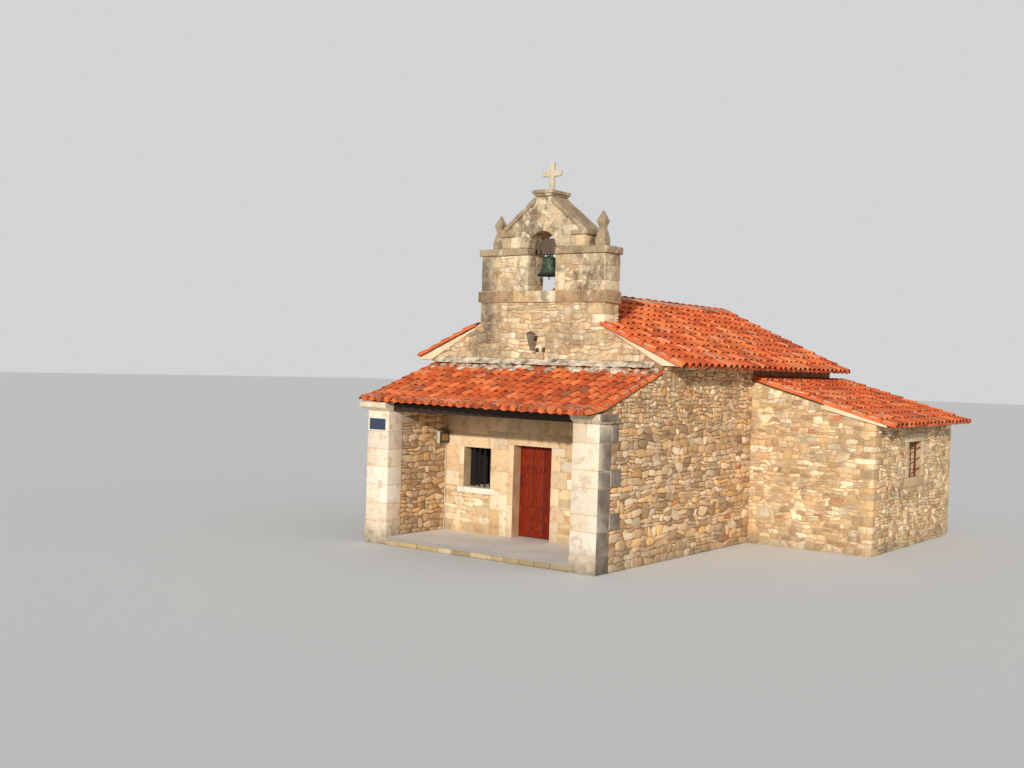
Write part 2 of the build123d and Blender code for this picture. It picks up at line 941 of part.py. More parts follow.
# Yoke: a shouldered timber block on an iron axle
with BuildPart() as bell_yoke:
    with BuildSketch(Plane.XZ.offset(-(belfry_middle - yoke_depth / 2))):
        with BuildLine():
            Polyline(
                (-yoke_length / 2, yoke_bottom),
                (yoke_length / 2, yoke_bottom),
                (yoke_length / 2, axle_height + 2 * axle_radius),
                (yoke_top_length / 2, axle_height + yoke_rise),
                (-yoke_top_length / 2, axle_height + yoke_rise),
                (-yoke_length / 2, axle_height + 2 * axle_radius),
                close=True,
            )
        make_face()
    extrude(amount=-yoke_depth)
    axle_half = opening_half - axle_end_gap
    with BuildSketch(Plane.YZ.offset(-axle_half)):
        with Locations((belfry_middle, axle_height)):
            Circle(axle_radius)
    extrude(amount=2 * axle_half)
save(bell_yoke, "bell_yoke")

# Bearings: drilled iron blocks on the two jambs
with BuildPart() as bell_bearings:
    for hand in (-1, 1):
        bearing_start = hand * opening_half - max(hand, 0) * bearing_thickness
        with BuildSketch(Plane.YZ.offset(bearing_start)):
            with Locations((belfry_middle, axle_height)):
                Rectangle(bearing_size, bearing_size)
                Circle(axle_radius + axle_clearance, mode=Mode.SUBTRACT)
        extrude(amount=bearing_thickness)
save(bell_bearings, "bell_bearings")

# Staple: two cheeks under the bell's crown with a cross pin for the clapper
clapper_pivot = bell_top - clapper_pivot_drop
cheek_inner = clapper_eye_width / 2 + staple_gap
with BuildPart() as clapper_staple:
    for hand in (-1, 1):
        with BuildSketch(Plane.XY.offset(clapper_pivot - clapper_eye)):
            with Locations((hand * (cheek_inner + staple_cheek / 2), belfry_middle)):
                Rectangle(staple_cheek, 2 * clapper_eye)
        extrude(amount=bell_top - bell_crown_thickness - clapper_pivot + clapper_eye)
    with BuildSketch(Plane.YZ.offset(-cheek_inner)):
        with Locations((belfry_middle, clapper_pivot)):
            Circle(staple_pin)
    extrude(amount=2 * cheek_inner)
save(clapper_staple, "clapper_staple")

# Clapper: a forged rod and ball, with an eye that hangs on the staple's pin
clapper_end = clapper_pivot - clapper_length - clapper_ball - clapper_tail
with BuildPart() as clapper:
    with BuildSketch(Plane.XY.offset(clapper_end)):
        with Locations((0, belfry_middle)):
            Circle(clapper_rod)
    extrude(amount=clapper_pivot - clapper_eye / 2 - clapper_end)
    with Locations((0, belfry_middle, clapper_pivot - clapper_length)):
        Sphere(clapper_ball)
    with BuildSketch(Plane.YZ.offset(-clapper_eye_width / 2)):
        with Locations((belfry_middle, clapper_pivot)):
            Circle(clapper_eye)
    extrude(amount=clapper_eye_width)
    with BuildSketch(Plane.YZ.offset(-clapper_eye_width)):
        with Locations((belfry_middle, clapper_pivot)):
            Circle(staple_pin + staple_clearance)
    extrude(amount=2 * clapper_eye_width, mode=Mode.SUBTRACT)
save(clapper, "clapper")

# Door leaf, behind the stone reveal, on strap hinges that turn on pins in the jamb
leaf_left = door_left - leaf_overlap
leaf_right = door_right + leaf_overlap
leaf_front = rebate_front + leaf_gap
leaf_back = leaf_front + leaf_thickness
leaf_bottom = floor_height + leaf_floor_gap
hinge_x = door_right + hinge_offset
hinge_y = leaf_back + hinge_strap / 2 + hinge_eye_radius
block(
    "door_leaf",
    (leaf_left, leaf_right),
    (leaf_front, leaf_back),
    (leaf_bottom, door_top + leaf_overlap),
)
with BuildPart() as door_straps:
    for level in hinge_levels:
        with BuildSketch(Plane.XY.offset(floor_height + level)):
            with Locations((hinge_x, hinge_y)):
                Circle(hinge_eye_radius)
            with Locations(((hinge_x + leaf_right - hinge_length) / 2, leaf_back + hinge_strap / 2)):
                Rectangle(hinge_x - leaf_right + hinge_length, hinge_strap)
            with Locations((hinge_x, hinge_y)):
                Circle(hinge_pin_radius + hinge_clearance, mode=Mode.SUBTRACT)
        extrude(amount=hinge_height)
save(door_straps, "door_straps")

# Gudgeons: a pin through each eye, cranked back into the rebated jamb under the eye
with BuildPart() as hinge_pins:
    for level in hinge_levels:
        eye_bottom = floor_height + level
        with BuildSketch(Plane.XY.offset(eye_bottom - hinge_clearance - hinge_eye_radius)):
            with Locations((hinge_x, hinge_y)):
                Circle(hinge_eye_radius)
            with Locations(((hinge_x + door_right + rebate_right) / 2, hinge_y)):
                Rectangle(door_right + rebate_right - hinge_x, hinge_eye_radius)
        extrude(amount=hinge_eye_radius)
        with BuildSketch(Plane.XY.offset(eye_bottom - hinge_clearance)):
            with Locations((hinge_x, hinge_y)):
                Circle(hinge_pin_radius)
        extrude(amount=hinge_height)
save(hinge_pins, "hinge_pins")

# Pull handle: a round iron bar on two stand-offs
handle_x = leaf_left + leaf_overlap + handle_inset
handle_y = leaf_front - handle_standoff
with BuildPart() as door_handle:
    with BuildSketch(Plane.XY.offset(floor_height + handle_height)):
        with Locations((handle_x, handle_y)):
            Circle(handle_radius)
    extrude(amount=handle_length)
    with BuildSketch(Plane.XZ.offset(-handle_y)):
        for share in (0.12, 0.88):
            with Locations((handle_x, floor_height + handle_height + share * handle_length)):
                Circle(handle_radius * 0.8)
    extrude(amount=-handle_standoff)
save(door_handle, "door_handle")

# Sacristy: front and rear walls with raking tops, and an end wall in pieces around its window
end_window_rear = sacristy_window_front + sacristy_window_width
end_window_top = sacristy_window_sill + sacristy_window_height
room_y = (sacristy_front + sacristy_wall_thickness, sacristy_rear - sacristy_wall_thickness)
for name, x_start, x_end, y_range in (
    ("front_wall", wall_face, sacristy_face, (sacristy_front, room_y[0])),
    ("rear_wall", wall_face, sacristy_face, (room_y[1], sacristy_rear)),
    ("return_wall", wall_face, wall_face + sacristy_wall_thickness, (nave_rear, room_y[1])),
):
    front_profile(
        f"sacristy_{name}",
        [
            (x_start, 0),
            (x_end, 0),
            (x_end, sacristy_roof_under(x_end)),
            (x_start, sacristy_roof_under(x_start)),
        ],
        y_range,
    )
end_x = (sacristy_inner_face, sacristy_face)
block("sacristy_end_near", end_x, (room_y[0], sacristy_window_front), (0, end_window_top))
block("sacristy_end_far", end_x, (end_window_rear, room_y[1]), (0, end_window_top))
block(
    "sacristy_window_apron",
    end_x,
    (sacristy_window_front, end_window_rear),
    (0, sacristy_window_sill),
)
front_profile(
    "sacristy_end_head",
    [
        (sacristy_inner_face, end_window_top),
        (sacristy_face, end_window_top),
        (sacristy_face, sacristy_roof_under(sacristy_face)),
        (sacristy_inner_face, sacristy_roof_under(sacristy_inner_face)),
    ],
    room_y,
)
sacristy_eaves_x = sacristy_face + sacristy_eaves_overhang
sacristy_verges = (sacristy_front - sacristy_verge_overhang, sacristy_rear + sacristy_verge_overhang)
with BuildPart() as sacristy_roof:
    with BuildSketch(Plane.XZ.offset(-sacristy_verges[0])):
        with BuildLine():
            Polyline(
                (wall_face, sacristy_roof_under(wall_face)),
                (sacristy_eaves_x, sacristy_roof_under(sacristy_eaves_x)),
                (sacristy_eaves_x, sacristy_roof_under(sacristy_eaves_x) + lean_to_cover_height),
                (wall_face, sacristy_top),
                close=True,
            )
        make_face()
    extrude(amount=sacristy_verges[0] - sacristy_verges[1])
    with BuildSketch(Plane.YZ.offset(wall_face)):
        for outline in tile_grooves(*sacristy_verges, sacristy_rib_count, sacristy_top):
            with BuildLine():
                Polyline(*outline, close=True)
            make_face()
    fall = Vector(1, 0, -sacristy_pitch) * sacristy_eaves_x
    extrude(amount=fall.length, dir=fall, mode=Mode.SUBTRACT)
save(sacristy_roof, "sacristy_roof")

# Wall lamp: a lantern on a tube that comes out of a wall plate and turns up
lamp_front = nave_front - lamp_reach
lamp_height = flashing_top + lamp_rise
with BuildPart() as wall_lamp:
    with BuildSketch(Plane.XZ.offset(-nave_front)):
        with Locations((lamp_offset, lamp_height)):
            Rectangle(lantern_top, lantern_top)
    extrude(amount=lamp_tube)
    with BuildSketch(Plane.XZ.offset(-(nave_front - lamp_tube))):
        with Locations((lamp_offset, lamp_height)):
            Circle(lamp_tube)
    extrude(amount=lamp_reach - lamp_tube)
    with BuildSketch(Plane.XY.offset(lamp_height - lamp_tube)):
        with Locations((lamp_offset, lamp_front)):
            Circle(lamp_tube)
    extrude(amount=lantern_rise + lamp_tube)
    with BuildSketch(Plane.XY.offset(lamp_height + lantern_rise)):
        with Locations((lamp_offset, lamp_front)):
            Circle(lantern_foot)
    with BuildSketch(Plane.XY.offset(lamp_height + lantern_rise + lantern_height)):
        with Locations((lamp_offset, lamp_front)):
            Circle(lantern_top)
    loft()
save(wall_lamp, "wall_lamp")

# Meter box on the porch's left wall, with its conduit down to the slab
with BuildPart() as meter_box:
    with BuildSketch(Plane.XY.offset(meter_level)):
        with Locations((porch_left_inner + meter_depth / 2, facade_front - meter_width / 2)):
            Rectangle(meter_depth, meter_width)
    extrude(amount=meter_height)
    fillet(meter_box.edges().filter_by(Axis.Z).group_by(Axis.X)[-1], radius=meter_depth / 5)
    with BuildSketch(Plane.XY.offset(floor_height)):
        with Locations((porch_left_inner + conduit_radius, facade_front - 2 * conduit_radius)):
            Circle(conduit_radius)
    extrude(amount=meter_level - floor_height)
save(meter_box, "meter_box")
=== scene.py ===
"""Small rubble-stone chapel with an open porch, a bell gable and a lean-to sacristy.

Metres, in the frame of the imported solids: +Z up, the porch towards -Y, the sacristy towards +X.
"""

import math
import random

import bpy
from mathutils import Matrix, Vector, noise


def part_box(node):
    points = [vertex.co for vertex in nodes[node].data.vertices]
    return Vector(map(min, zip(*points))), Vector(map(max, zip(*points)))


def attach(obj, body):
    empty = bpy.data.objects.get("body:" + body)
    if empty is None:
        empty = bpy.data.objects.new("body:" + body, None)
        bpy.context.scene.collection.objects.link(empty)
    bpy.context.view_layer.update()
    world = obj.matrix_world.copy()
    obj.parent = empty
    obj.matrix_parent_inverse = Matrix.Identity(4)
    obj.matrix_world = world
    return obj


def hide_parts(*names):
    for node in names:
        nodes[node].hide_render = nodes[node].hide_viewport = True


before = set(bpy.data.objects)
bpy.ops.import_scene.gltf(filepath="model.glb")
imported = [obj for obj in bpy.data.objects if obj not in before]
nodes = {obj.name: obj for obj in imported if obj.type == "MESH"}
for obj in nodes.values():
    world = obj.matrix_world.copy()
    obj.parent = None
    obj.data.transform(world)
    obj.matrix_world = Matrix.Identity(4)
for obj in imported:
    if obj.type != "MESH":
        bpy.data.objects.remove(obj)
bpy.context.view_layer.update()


# Floors. The nave and the porch have slabs of trowelled concrete, pale grey and lightly stained.
# The porch slab lies on a kerb of squared yellow stones along its front.
def srgb(red, green, blue):
    """A colour as seen, from 0 to 255, in Blender's linear values."""
    return tuple(((c / 255 + 0.055) / 1.055) ** 2.4 if c > 10 else c / 3295 for c in (red, green, blue)) + (1,)


class Finish:
    """A material whose nodes are added one after another."""

    def __init__(self, name, roughness=0.9, metallic=0.0):
        self.material = bpy.data.materials.new(name)
        self.material.use_nodes = True
        self.tree = self.material.node_tree
        self.shader = self.tree.nodes["Principled BSDF"]
        self.shader.inputs["Roughness"].default_value = roughness
        self.shader.inputs["Metallic"].default_value = metallic
        self.place = self.add("ShaderNodeTexCoord").outputs["Object"]

    def add(self, kind, **values):
        node = self.tree.nodes.new(kind)
        for key, value in values.items():
            setattr(node, key, value)
        return node

    def join(self, source, socket):
        if isinstance(source, bpy.types.NodeSocket):
            self.tree.links.new(source, socket)
        else:
            socket.default_value = source

    def stretched(self, scale):
        node = self.add("ShaderNodeMapping")
        self.join(self.place, node.inputs["Vector"])
        node.inputs["Scale"].default_value = scale
        return node.outputs["Vector"]

    def noise(self, scale, detail=6.0, roughness=0.6, stretch=None):
        node = self.add("ShaderNodeTexNoise")
        self.join(self.stretched(stretch) if stretch else self.place, node.inputs["Vector"])
        node.inputs["Scale"].default_value = scale
        node.inputs["Detail"].default_value = detail
        node.inputs["Roughness"].default_value = roughness
        return node.outputs["Fac"]

    def tint(self, channel):
        """One of the three random shares that each stone or tile carries."""
        if not hasattr(self, "tints"):
            attribute = self.add("ShaderNodeAttribute", attribute_name="tint")
            split = self.add("ShaderNodeSeparateColor")
            self.join(attribute.outputs["Color"], split.inputs["Color"])
            self.tints = {**{name: split.outputs[name] for name in ("Red", "Green", "Blue")},
                          "Alpha": attribute.outputs["Alpha"]}
        return self.tints[channel]

    def ramp(self, factor, stops):
        node = self.add("ShaderNodeValToRGB")
        while len(node.color_ramp.elements) < len(stops):
            node.color_ramp.elements.new(0.5)
        for element, (place, colour) in zip(node.color_ramp.elements, stops):
            element.position = place
            element.color = colour if isinstance(colour, tuple) else (colour, colour, colour, 1)
        self.join(factor, node.inputs["Fac"])
        return node.outputs["Color"]

    def tones(self, pattern, *stops):
        """A ramp of colours as seen, each at its place in the pattern."""
        return self.ramp(pattern, [(place, srgb(*tone)) for place, tone in stops])

    def mix(self, factor, a, b, blend="MIX"):
        node = self.add("ShaderNodeMix", data_type="RGBA", blend_type=blend)
        self.join(factor, node.inputs[0])
        self.join(a, node.inputs[6])
        self.join(b, node.inputs[7])
        return node.outputs[2]

    def laid_over(self, colour, pattern, low, high, share, tone):
        """The colour with a share of a tone over it, where the pattern rises from low to high."""
        return self.mix(self.span(pattern, low, high, 0, share), colour, srgb(*tone))

    def math(self, operation, a, b=0.0):
        node = self.add("ShaderNodeMath", operation=operation)
        self.join(a, node.inputs[0])
        self.join(b, node.inputs[1])
        return node.outputs[0]

    def span(self, value, low, high, to_low=0.0, to_high=1.0):
        node = self.add("ShaderNodeMapRange")
        self.join(value, node.inputs["Value"])
        for key, number in (("From Min", low), ("From Max", high), ("To Min", to_low), ("To Max", to_high)):
            node.inputs[key].default_value = number
        return node.outputs["Result"]

    def along(self, axis="Z"):
        node = self.add("ShaderNodeSeparateXYZ")
        self.join(self.place, node.inputs["Vector"])
        return node.outputs[axis]

    def shades(self, colour, share, dark, light):
        """The colour made darker and lighter by a share that runs from 0 to 1."""
        return self.mix(1.0, colour, self.ramp(share, [(0.25, dark), (0.75, light)]), "MULTIPLY")

    def bump(self, height, strength, distance):
        node = self.add("ShaderNodeBump")
        node.inputs["Strength"].default_value = strength
        node.inputs["Distance"].default_value = distance
        self.join(height, node.inputs["Height"])
        if hasattr(self, "normal"):
            self.join(self.normal, node.inputs["Normal"])
        self.normal = node.outputs["Normal"]
        self.join(self.normal, self.shader.inputs["Normal"])

    def colour(self, colour):
        self.join(colour, self.shader.inputs["Base Color"])
        return self.material


def coat(material, *names):
    """Gives the solids of these names a material."""
    for name in names:
        nodes[name].data.materials.clear()
        nodes[name].data.materials.append(material)


concrete = Finish("trowelled_concrete", 0.85)
slab_grey = concrete.tones(concrete.noise(1.3, 8), (0.3, (232, 228, 222)), (0.7, (250, 246, 240)))
slab_grey = concrete.shades(slab_grey, concrete.noise(55, 4), 0.9, 1.03)
slab_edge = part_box("porch_floor")[0].y + 0.01
# The slab's front face and the first centimetre of its top are darkened with painted shade.
painted_shade_front_edge = concrete.span(concrete.along("Y"), slab_edge, slab_edge + 0.01, 0.75, 0)
slab_grey = concrete.mix(painted_shade_front_edge, slab_grey, srgb(120, 104, 84))
concrete.bump(concrete.noise(40, 6), 0.25, 0.004)
coat(concrete.colour(slab_grey), "nave_floor", "porch_floor")


# Dressed masonry: squared stones with slightly worn arrises. One stone is cut once, and every block
# is a copy of it, stretched between its own corners so that the arrises keep their width.
def pick_up(piece):
    """A modelled piece as its corners and faces; the piece itself is cleared away."""
    corners = [vertex.co.copy() for vertex in piece.data.vertices]
    faces = [tuple(polygon.vertices) for polygon in piece.data.polygons]
    mesh = piece.data
    bpy.data.objects.remove(piece)
    bpy.data.meshes.remove(mesh)
    return corners, faces


def finish_with(piece, kind, **values):
    """Puts one modifier on a piece and applies it."""
    modifier = piece.modifiers.new(kind.lower(), kind)
    for key, value in values.items():
        setattr(modifier, key, value)
    bpy.context.view_layer.objects.active = piece
    bpy.ops.object.modifier_apply(modifier=modifier.name)


def dress(piece, material, body="building", replaces=(), smooth=40):
    """Gives a modelled piece its material, shading and body; with no angle it is smooth all over."""
    piece.data.materials.clear()
    piece.data.materials.append(material)
    bpy.ops.object.select_all(action="DESELECT")
    piece.select_set(True)
    bpy.context.view_layer.objects.active = piece
    if smooth:
        bpy.ops.object.shade_smooth_by_angle(angle=math.radians(smooth))
    else:
        bpy.ops.object.shade_smooth()
    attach(piece, body)
    if replaces:
        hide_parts(*replaces)


bpy.ops.object.select_all(action="DESELECT")
bpy.ops.mesh.primitive_cube_add(size=2)
block_master = bpy.context.object
finish_with(block_master, "BEVEL", width=0.5, segments=2)
block_corners, block_faces = pick_up(block_master)


class Heap:
    """Like pieces gathered into one mesh, each with its own tint."""

    def __init__(self, seed):
        self.random = random.Random(seed)
        self.corners = []
        self.faces = []
        self.tints = []

    def lay(self, corners, faces, tint=None, unshaded_share=None):
        """Adds a piece; the last argument gives each corner's share of surface that is not painted dark as shade, where
        they differ.
        """
        start = len(self.corners)
        tint = tint or (self.random.random(), self.random.random(), self.random.random())
        self.corners.extend(corners)
        self.faces.extend([tuple(start + i for i in face) for face in faces])
        self.tints.extend([(*tint, share) for share in unshaded_share or [1.0] * len(corners)])

    def block(self, low, high, arris=0.008, wander=0.0, tint=None):
        """A squared stone between two corners. Its own corners wander by a few millimetres."""
        centre = [(a + b) / 2 for a, b in zip(low, high)]
        half = [(b - a) / 2 for a, b in zip(low, high)]
        worn = min(arris, *[h * 0.45 for h in half])
        shifts = {}
        corners = []
        for corner in block_corners:
            side = tuple(1 if c > 0 else -1 for c in corner)
            if side not in shifts:
                shifts[side] = [self.random.uniform(-wander, wander) for _ in range(3)]
            corners.append(
                [m + s * (h - worn * (1 - abs(c)) * 2) + d
                 for m, s, h, c, d in zip(centre, side, half, corner, shifts[side])]
            )
        self.lay(corners, block_faces, tint)

    def build(self, name, material, slot, body="building", replaces=(), smooth=40):
        """The heap as one piece of the model."""
        mesh = bpy.data.meshes.new(name)
        mesh.from_pydata(self.corners, [], self.faces)
        shares = mesh.attributes.new("tint", "FLOAT_COLOR", "POINT")
        shares.data.foreach_set("color", [share for tint in self.tints for share in tint])
        piece = bpy.data.objects.new(name, mesh)
        bpy.context.scene.collection.objects.link(piece)
        dress(piece, material, body, replaces, smooth)


def masonry(name, tones, shade=(0.8, 1.12), lichen=0.0, foot=0.5, relief=0.5, lichen_and_shade_from=None, stain=0.6, crust=0.0,
            brick=False, sooty=None):
    """Stone whose blocks each take a tone, with grain, stains, dark lichen and a damp, dirty foot.

    Beyond a place along X, the stone's side is covered with grey lichen and darkened with painted shade.
    Around the place called sooty, along X, it is dark grey in patches."""
    stone = Finish(name, 0.93)
    colour = stone.tones(stone.tint("Red"), *((i / (len(tones) - 1), tone) for i, tone in enumerate(tones)))
    colour = stone.shades(colour, stone.tint("Green"), *shade)
    cloud = stone.noise(5.5, 9, 0.65)
    grain = stone.noise(48, 8, 0.7)
    colour = stone.mix(stone.span(cloud, 0.52, 0.72), colour, stone.mix(stain, colour, srgb(172, 124, 74)))
    colour = stone.shades(colour, grain, 0.76, 1.12)
    patches = stone.noise(3.2, 10, 0.72)
    colour = stone.laid_over(colour, patches, 0.56 - lichen * 0.2, 0.72 - lichen * 0.2, 0.35 + lichen * 0.5,
                             (106, 90, 70))
    if brick:
        colour = stone.mix(stone.ramp(stone.tint("Blue"), [(0.988, 0.0), (0.99, 0.8)]), colour, srgb(206, 116, 72))
    if crust:
        dark_crust = (stone.noise(2.1, 10, 0.74, (1, 1, 0.6)), 0.49, 0.58, crust, (122, 102, 78))
        lime_bloom = (stone.noise(5.2, 9, 0.7), 0.555, 0.65, crust * 0.8, (250, 234, 204))
        gold_lichen = (stone.noise(2.9, 8, 0.66), 0.62, 0.68, crust * 0.7, (226, 168, 84))
        dark_pits = (stone.noise(21, 6, 0.7), 0.6, 0.68, crust * 0.8, (96, 78, 56))
        for layer in (dark_crust, lime_bloom, gold_lichen, dark_pits):
            colour = stone.laid_over(colour, *layer)
    if sooty:
        beside = stone.math("ABSOLUTE", stone.math("SUBTRACT", stone.along("X"), sooty))
        soot = stone.math("MULTIPLY", stone.span(beside, 0.1, 0.5, 1, 0), stone.span(patches, 0.36, 0.56, 0.35, 0.95))
        colour = stone.mix(soot, colour, srgb(112, 98, 80))
    # The side beyond that place is grey with lichen and darkened with painted shade.
    if lichen_and_shade_from:
        beyond = stone.span(stone.along("X"), lichen_and_shade_from, lichen_and_shade_from + 0.004)
        cover = stone.math("MULTIPLY", beyond, stone.span(patches, 0.3, 0.6, 1, 0.74))
        colour = stone.mix(cover, colour, srgb(100, 88, 76))
    splashed = stone.math("ADD", stone.along(), stone.math("MULTIPLY", stone.noise(6, 8), -0.9))
    colour = stone.mix(stone.span(splashed, -0.5, 0.15, foot, 0), colour, srgb(104, 92, 74))
    stone.bump(grain, relief, 0.006)
    stone.bump(cloud, relief * 0.8, 0.012)
    return stone.colour(colour)


kerb_stone = masonry("kerb_stone", [(206, 178, 130), (222, 198, 154), (186, 160, 118), (214, 184, 130)], foot=0.3)
kerb_low, kerb_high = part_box("porch_kerb")
kerb = Heap(3)
kerb_place = kerb_low.x
while kerb_place < kerb_high.x - 0.02:
    kerb_end = min(kerb_place + kerb.random.uniform(0.25, 0.65), kerb_high.x)
    if kerb_high.x - kerb_end < 0.2:
        kerb_end = kerb_high.x
    kerb.block((kerb_place + 0.004, kerb_low.y, kerb_low.z + 0.005), (kerb_end - 0.004, kerb_high.y, kerb_high.z),
               0.022, 0.005)
    kerb_place = kerb_end
kerb.build("porch_kerb_stones", kerb_stone, "dressed_stone", replaces=["porch_kerb"])


# Rubble walls. Behind the stones is lime mortar, buff and a little rough, which also plasters the
# rooms inside. The walls themselves are the solids; the mortar shows in the joints.
def lime(name, dark, light):
    """Mortar between two shades. In the rooms and in the window's inner reveals it is painted dark, as shade."""
    mortar = Finish(name, 0.95)
    buff = mortar.tones(mortar.noise(3, 8), (0.3, dark), (0.7, light))
    buff = mortar.shades(buff, mortar.noise(70, 6), 0.8, 1.08)
    nave_room = ((-2.75, 2.75), (-3.9, 4.1), (0, 6))
    sacristy_room = ((3.05, 5.62), (0.25, 4.9), (0, 3.7))
    window_reveals = ((-1.8, -0.97), (-4.58, -3.9), (1.15, 2.14))
    # In the rooms and the front window's inner reveals the mortar is painted dark, as shade.
    for room in (nave_room, sacristy_room, window_reveals):
        inside = 1.0
        for axis, (low, high) in zip("XYZ", room):
            place = mortar.along(axis)
            inside = mortar.math("MULTIPLY", inside, mortar.math("GREATER_THAN", place, low))
            inside = mortar.math("MULTIPLY", inside, mortar.math("LESS_THAN", place, high))
        buff = mortar.mix(inside, buff, srgb(50, 42, 34))
    mortar.bump(mortar.noise(60, 8), 0.6, 0.008)
    return mortar.colour(buff)


lime_mortar = lime("lime_mortar", (188, 150, 106), (222, 188, 144))
coat(lime_mortar, "facade_under_window", "front_gable_wall", "belfry_base", "sacristy_front_wall",
     "sacristy_rear_wall", "sacristy_return_wall", "sacristy_end_near", "sacristy_end_far", "sacristy_window_apron",
     "sacristy_end_head", "facade_left", "facade_centre", "facade_right", "facade_head")
coat(lime("brown_mortar", (142, 108, 74), (190, 150, 106)), "rear_gable_wall", "nave_side_walls", "porch_walls")


# The stones: six field stones are modelled as flat boulders whose corners are broken unequally. Each copy
# is turned over at random and drawn between four corners of its own, in wavy courses.
def pick(piece, kind, wanted):
    """Goes into edit mode with only the wanted corners, edges or faces picked."""
    bpy.ops.object.mode_set(mode="EDIT")
    bpy.ops.mesh.select_mode(type=kind)
    bpy.ops.mesh.select_all(action="DESELECT")
    bpy.ops.object.mode_set(mode="OBJECT")
    for element in {"VERT": piece.data.vertices, "EDGE": piece.data.edges, "FACE": piece.data.polygons}[kind]:
        element.select = wanted(element)
    bpy.ops.object.mode_set(mode="EDIT")


def field_stone(cuts):
    """A boulder in a unit cube: its upright edges are cut, and its outer face is peaked."""
    bpy.ops.object.select_all(action="DESELECT")
    bpy.ops.mesh.primitive_cube_add(size=1, location=(0.5, 0.5, 0.5))
    stone = bpy.context.object
    bpy.ops.object.transform_apply(location=True)
    for corner, cut in zip(((0, 0), (1, 0), (1, 1), (0, 1)), cuts):
        pick(stone, "EDGE",
             lambda edge: all(math.dist(stone.data.vertices[i].co.xy, corner) < 0.001 for i in edge.vertices))
        bpy.ops.mesh.bevel(offset=cut, segments=1, affect="EDGES")
        bpy.ops.object.mode_set(mode="OBJECT")
    pick(stone, "FACE", lambda face: face.normal.z > 0.9)
    bpy.ops.mesh.inset(thickness=0.06, depth=0.4)
    bpy.ops.mesh.poke(offset=0.3)
    bpy.ops.object.mode_set(mode="OBJECT")
    return pick_up(stone)


field_stones = [
    field_stone(cuts)
    for cuts in ((0.08, 0.24, 0.1, 0.3), (0.3, 0.1, 0.2, 0.06), (0.12, 0.14, 0.36, 0.2), (0.05, 0.3, 0.08, 0.16),
                 (0.2, 0.05, 0.3, 0.1), (0.34, 0.22, 0.06, 0.26))
]


class Wall:
    """A wall's face: a place on it is a distance along, a height, and how far it stands out."""

    def __init__(self, start, along, out):
        self.start, self.along, self.out = Vector((*start, 0)), Vector(along), Vector(out)

    def point(self, across, height, proud):
        return self.start + self.along * across + Vector((0, 0, height)) + self.out * proud


def free_spans(length, taken):
    """What is left of a course between the spans that are taken."""
    spans, place = [], 0.0
    for start, end in sorted(taken):
        if start > place:
            spans.append((place, start))
        place = max(place, end)
    if place < length:
        spans.append((place, length))
    return spans


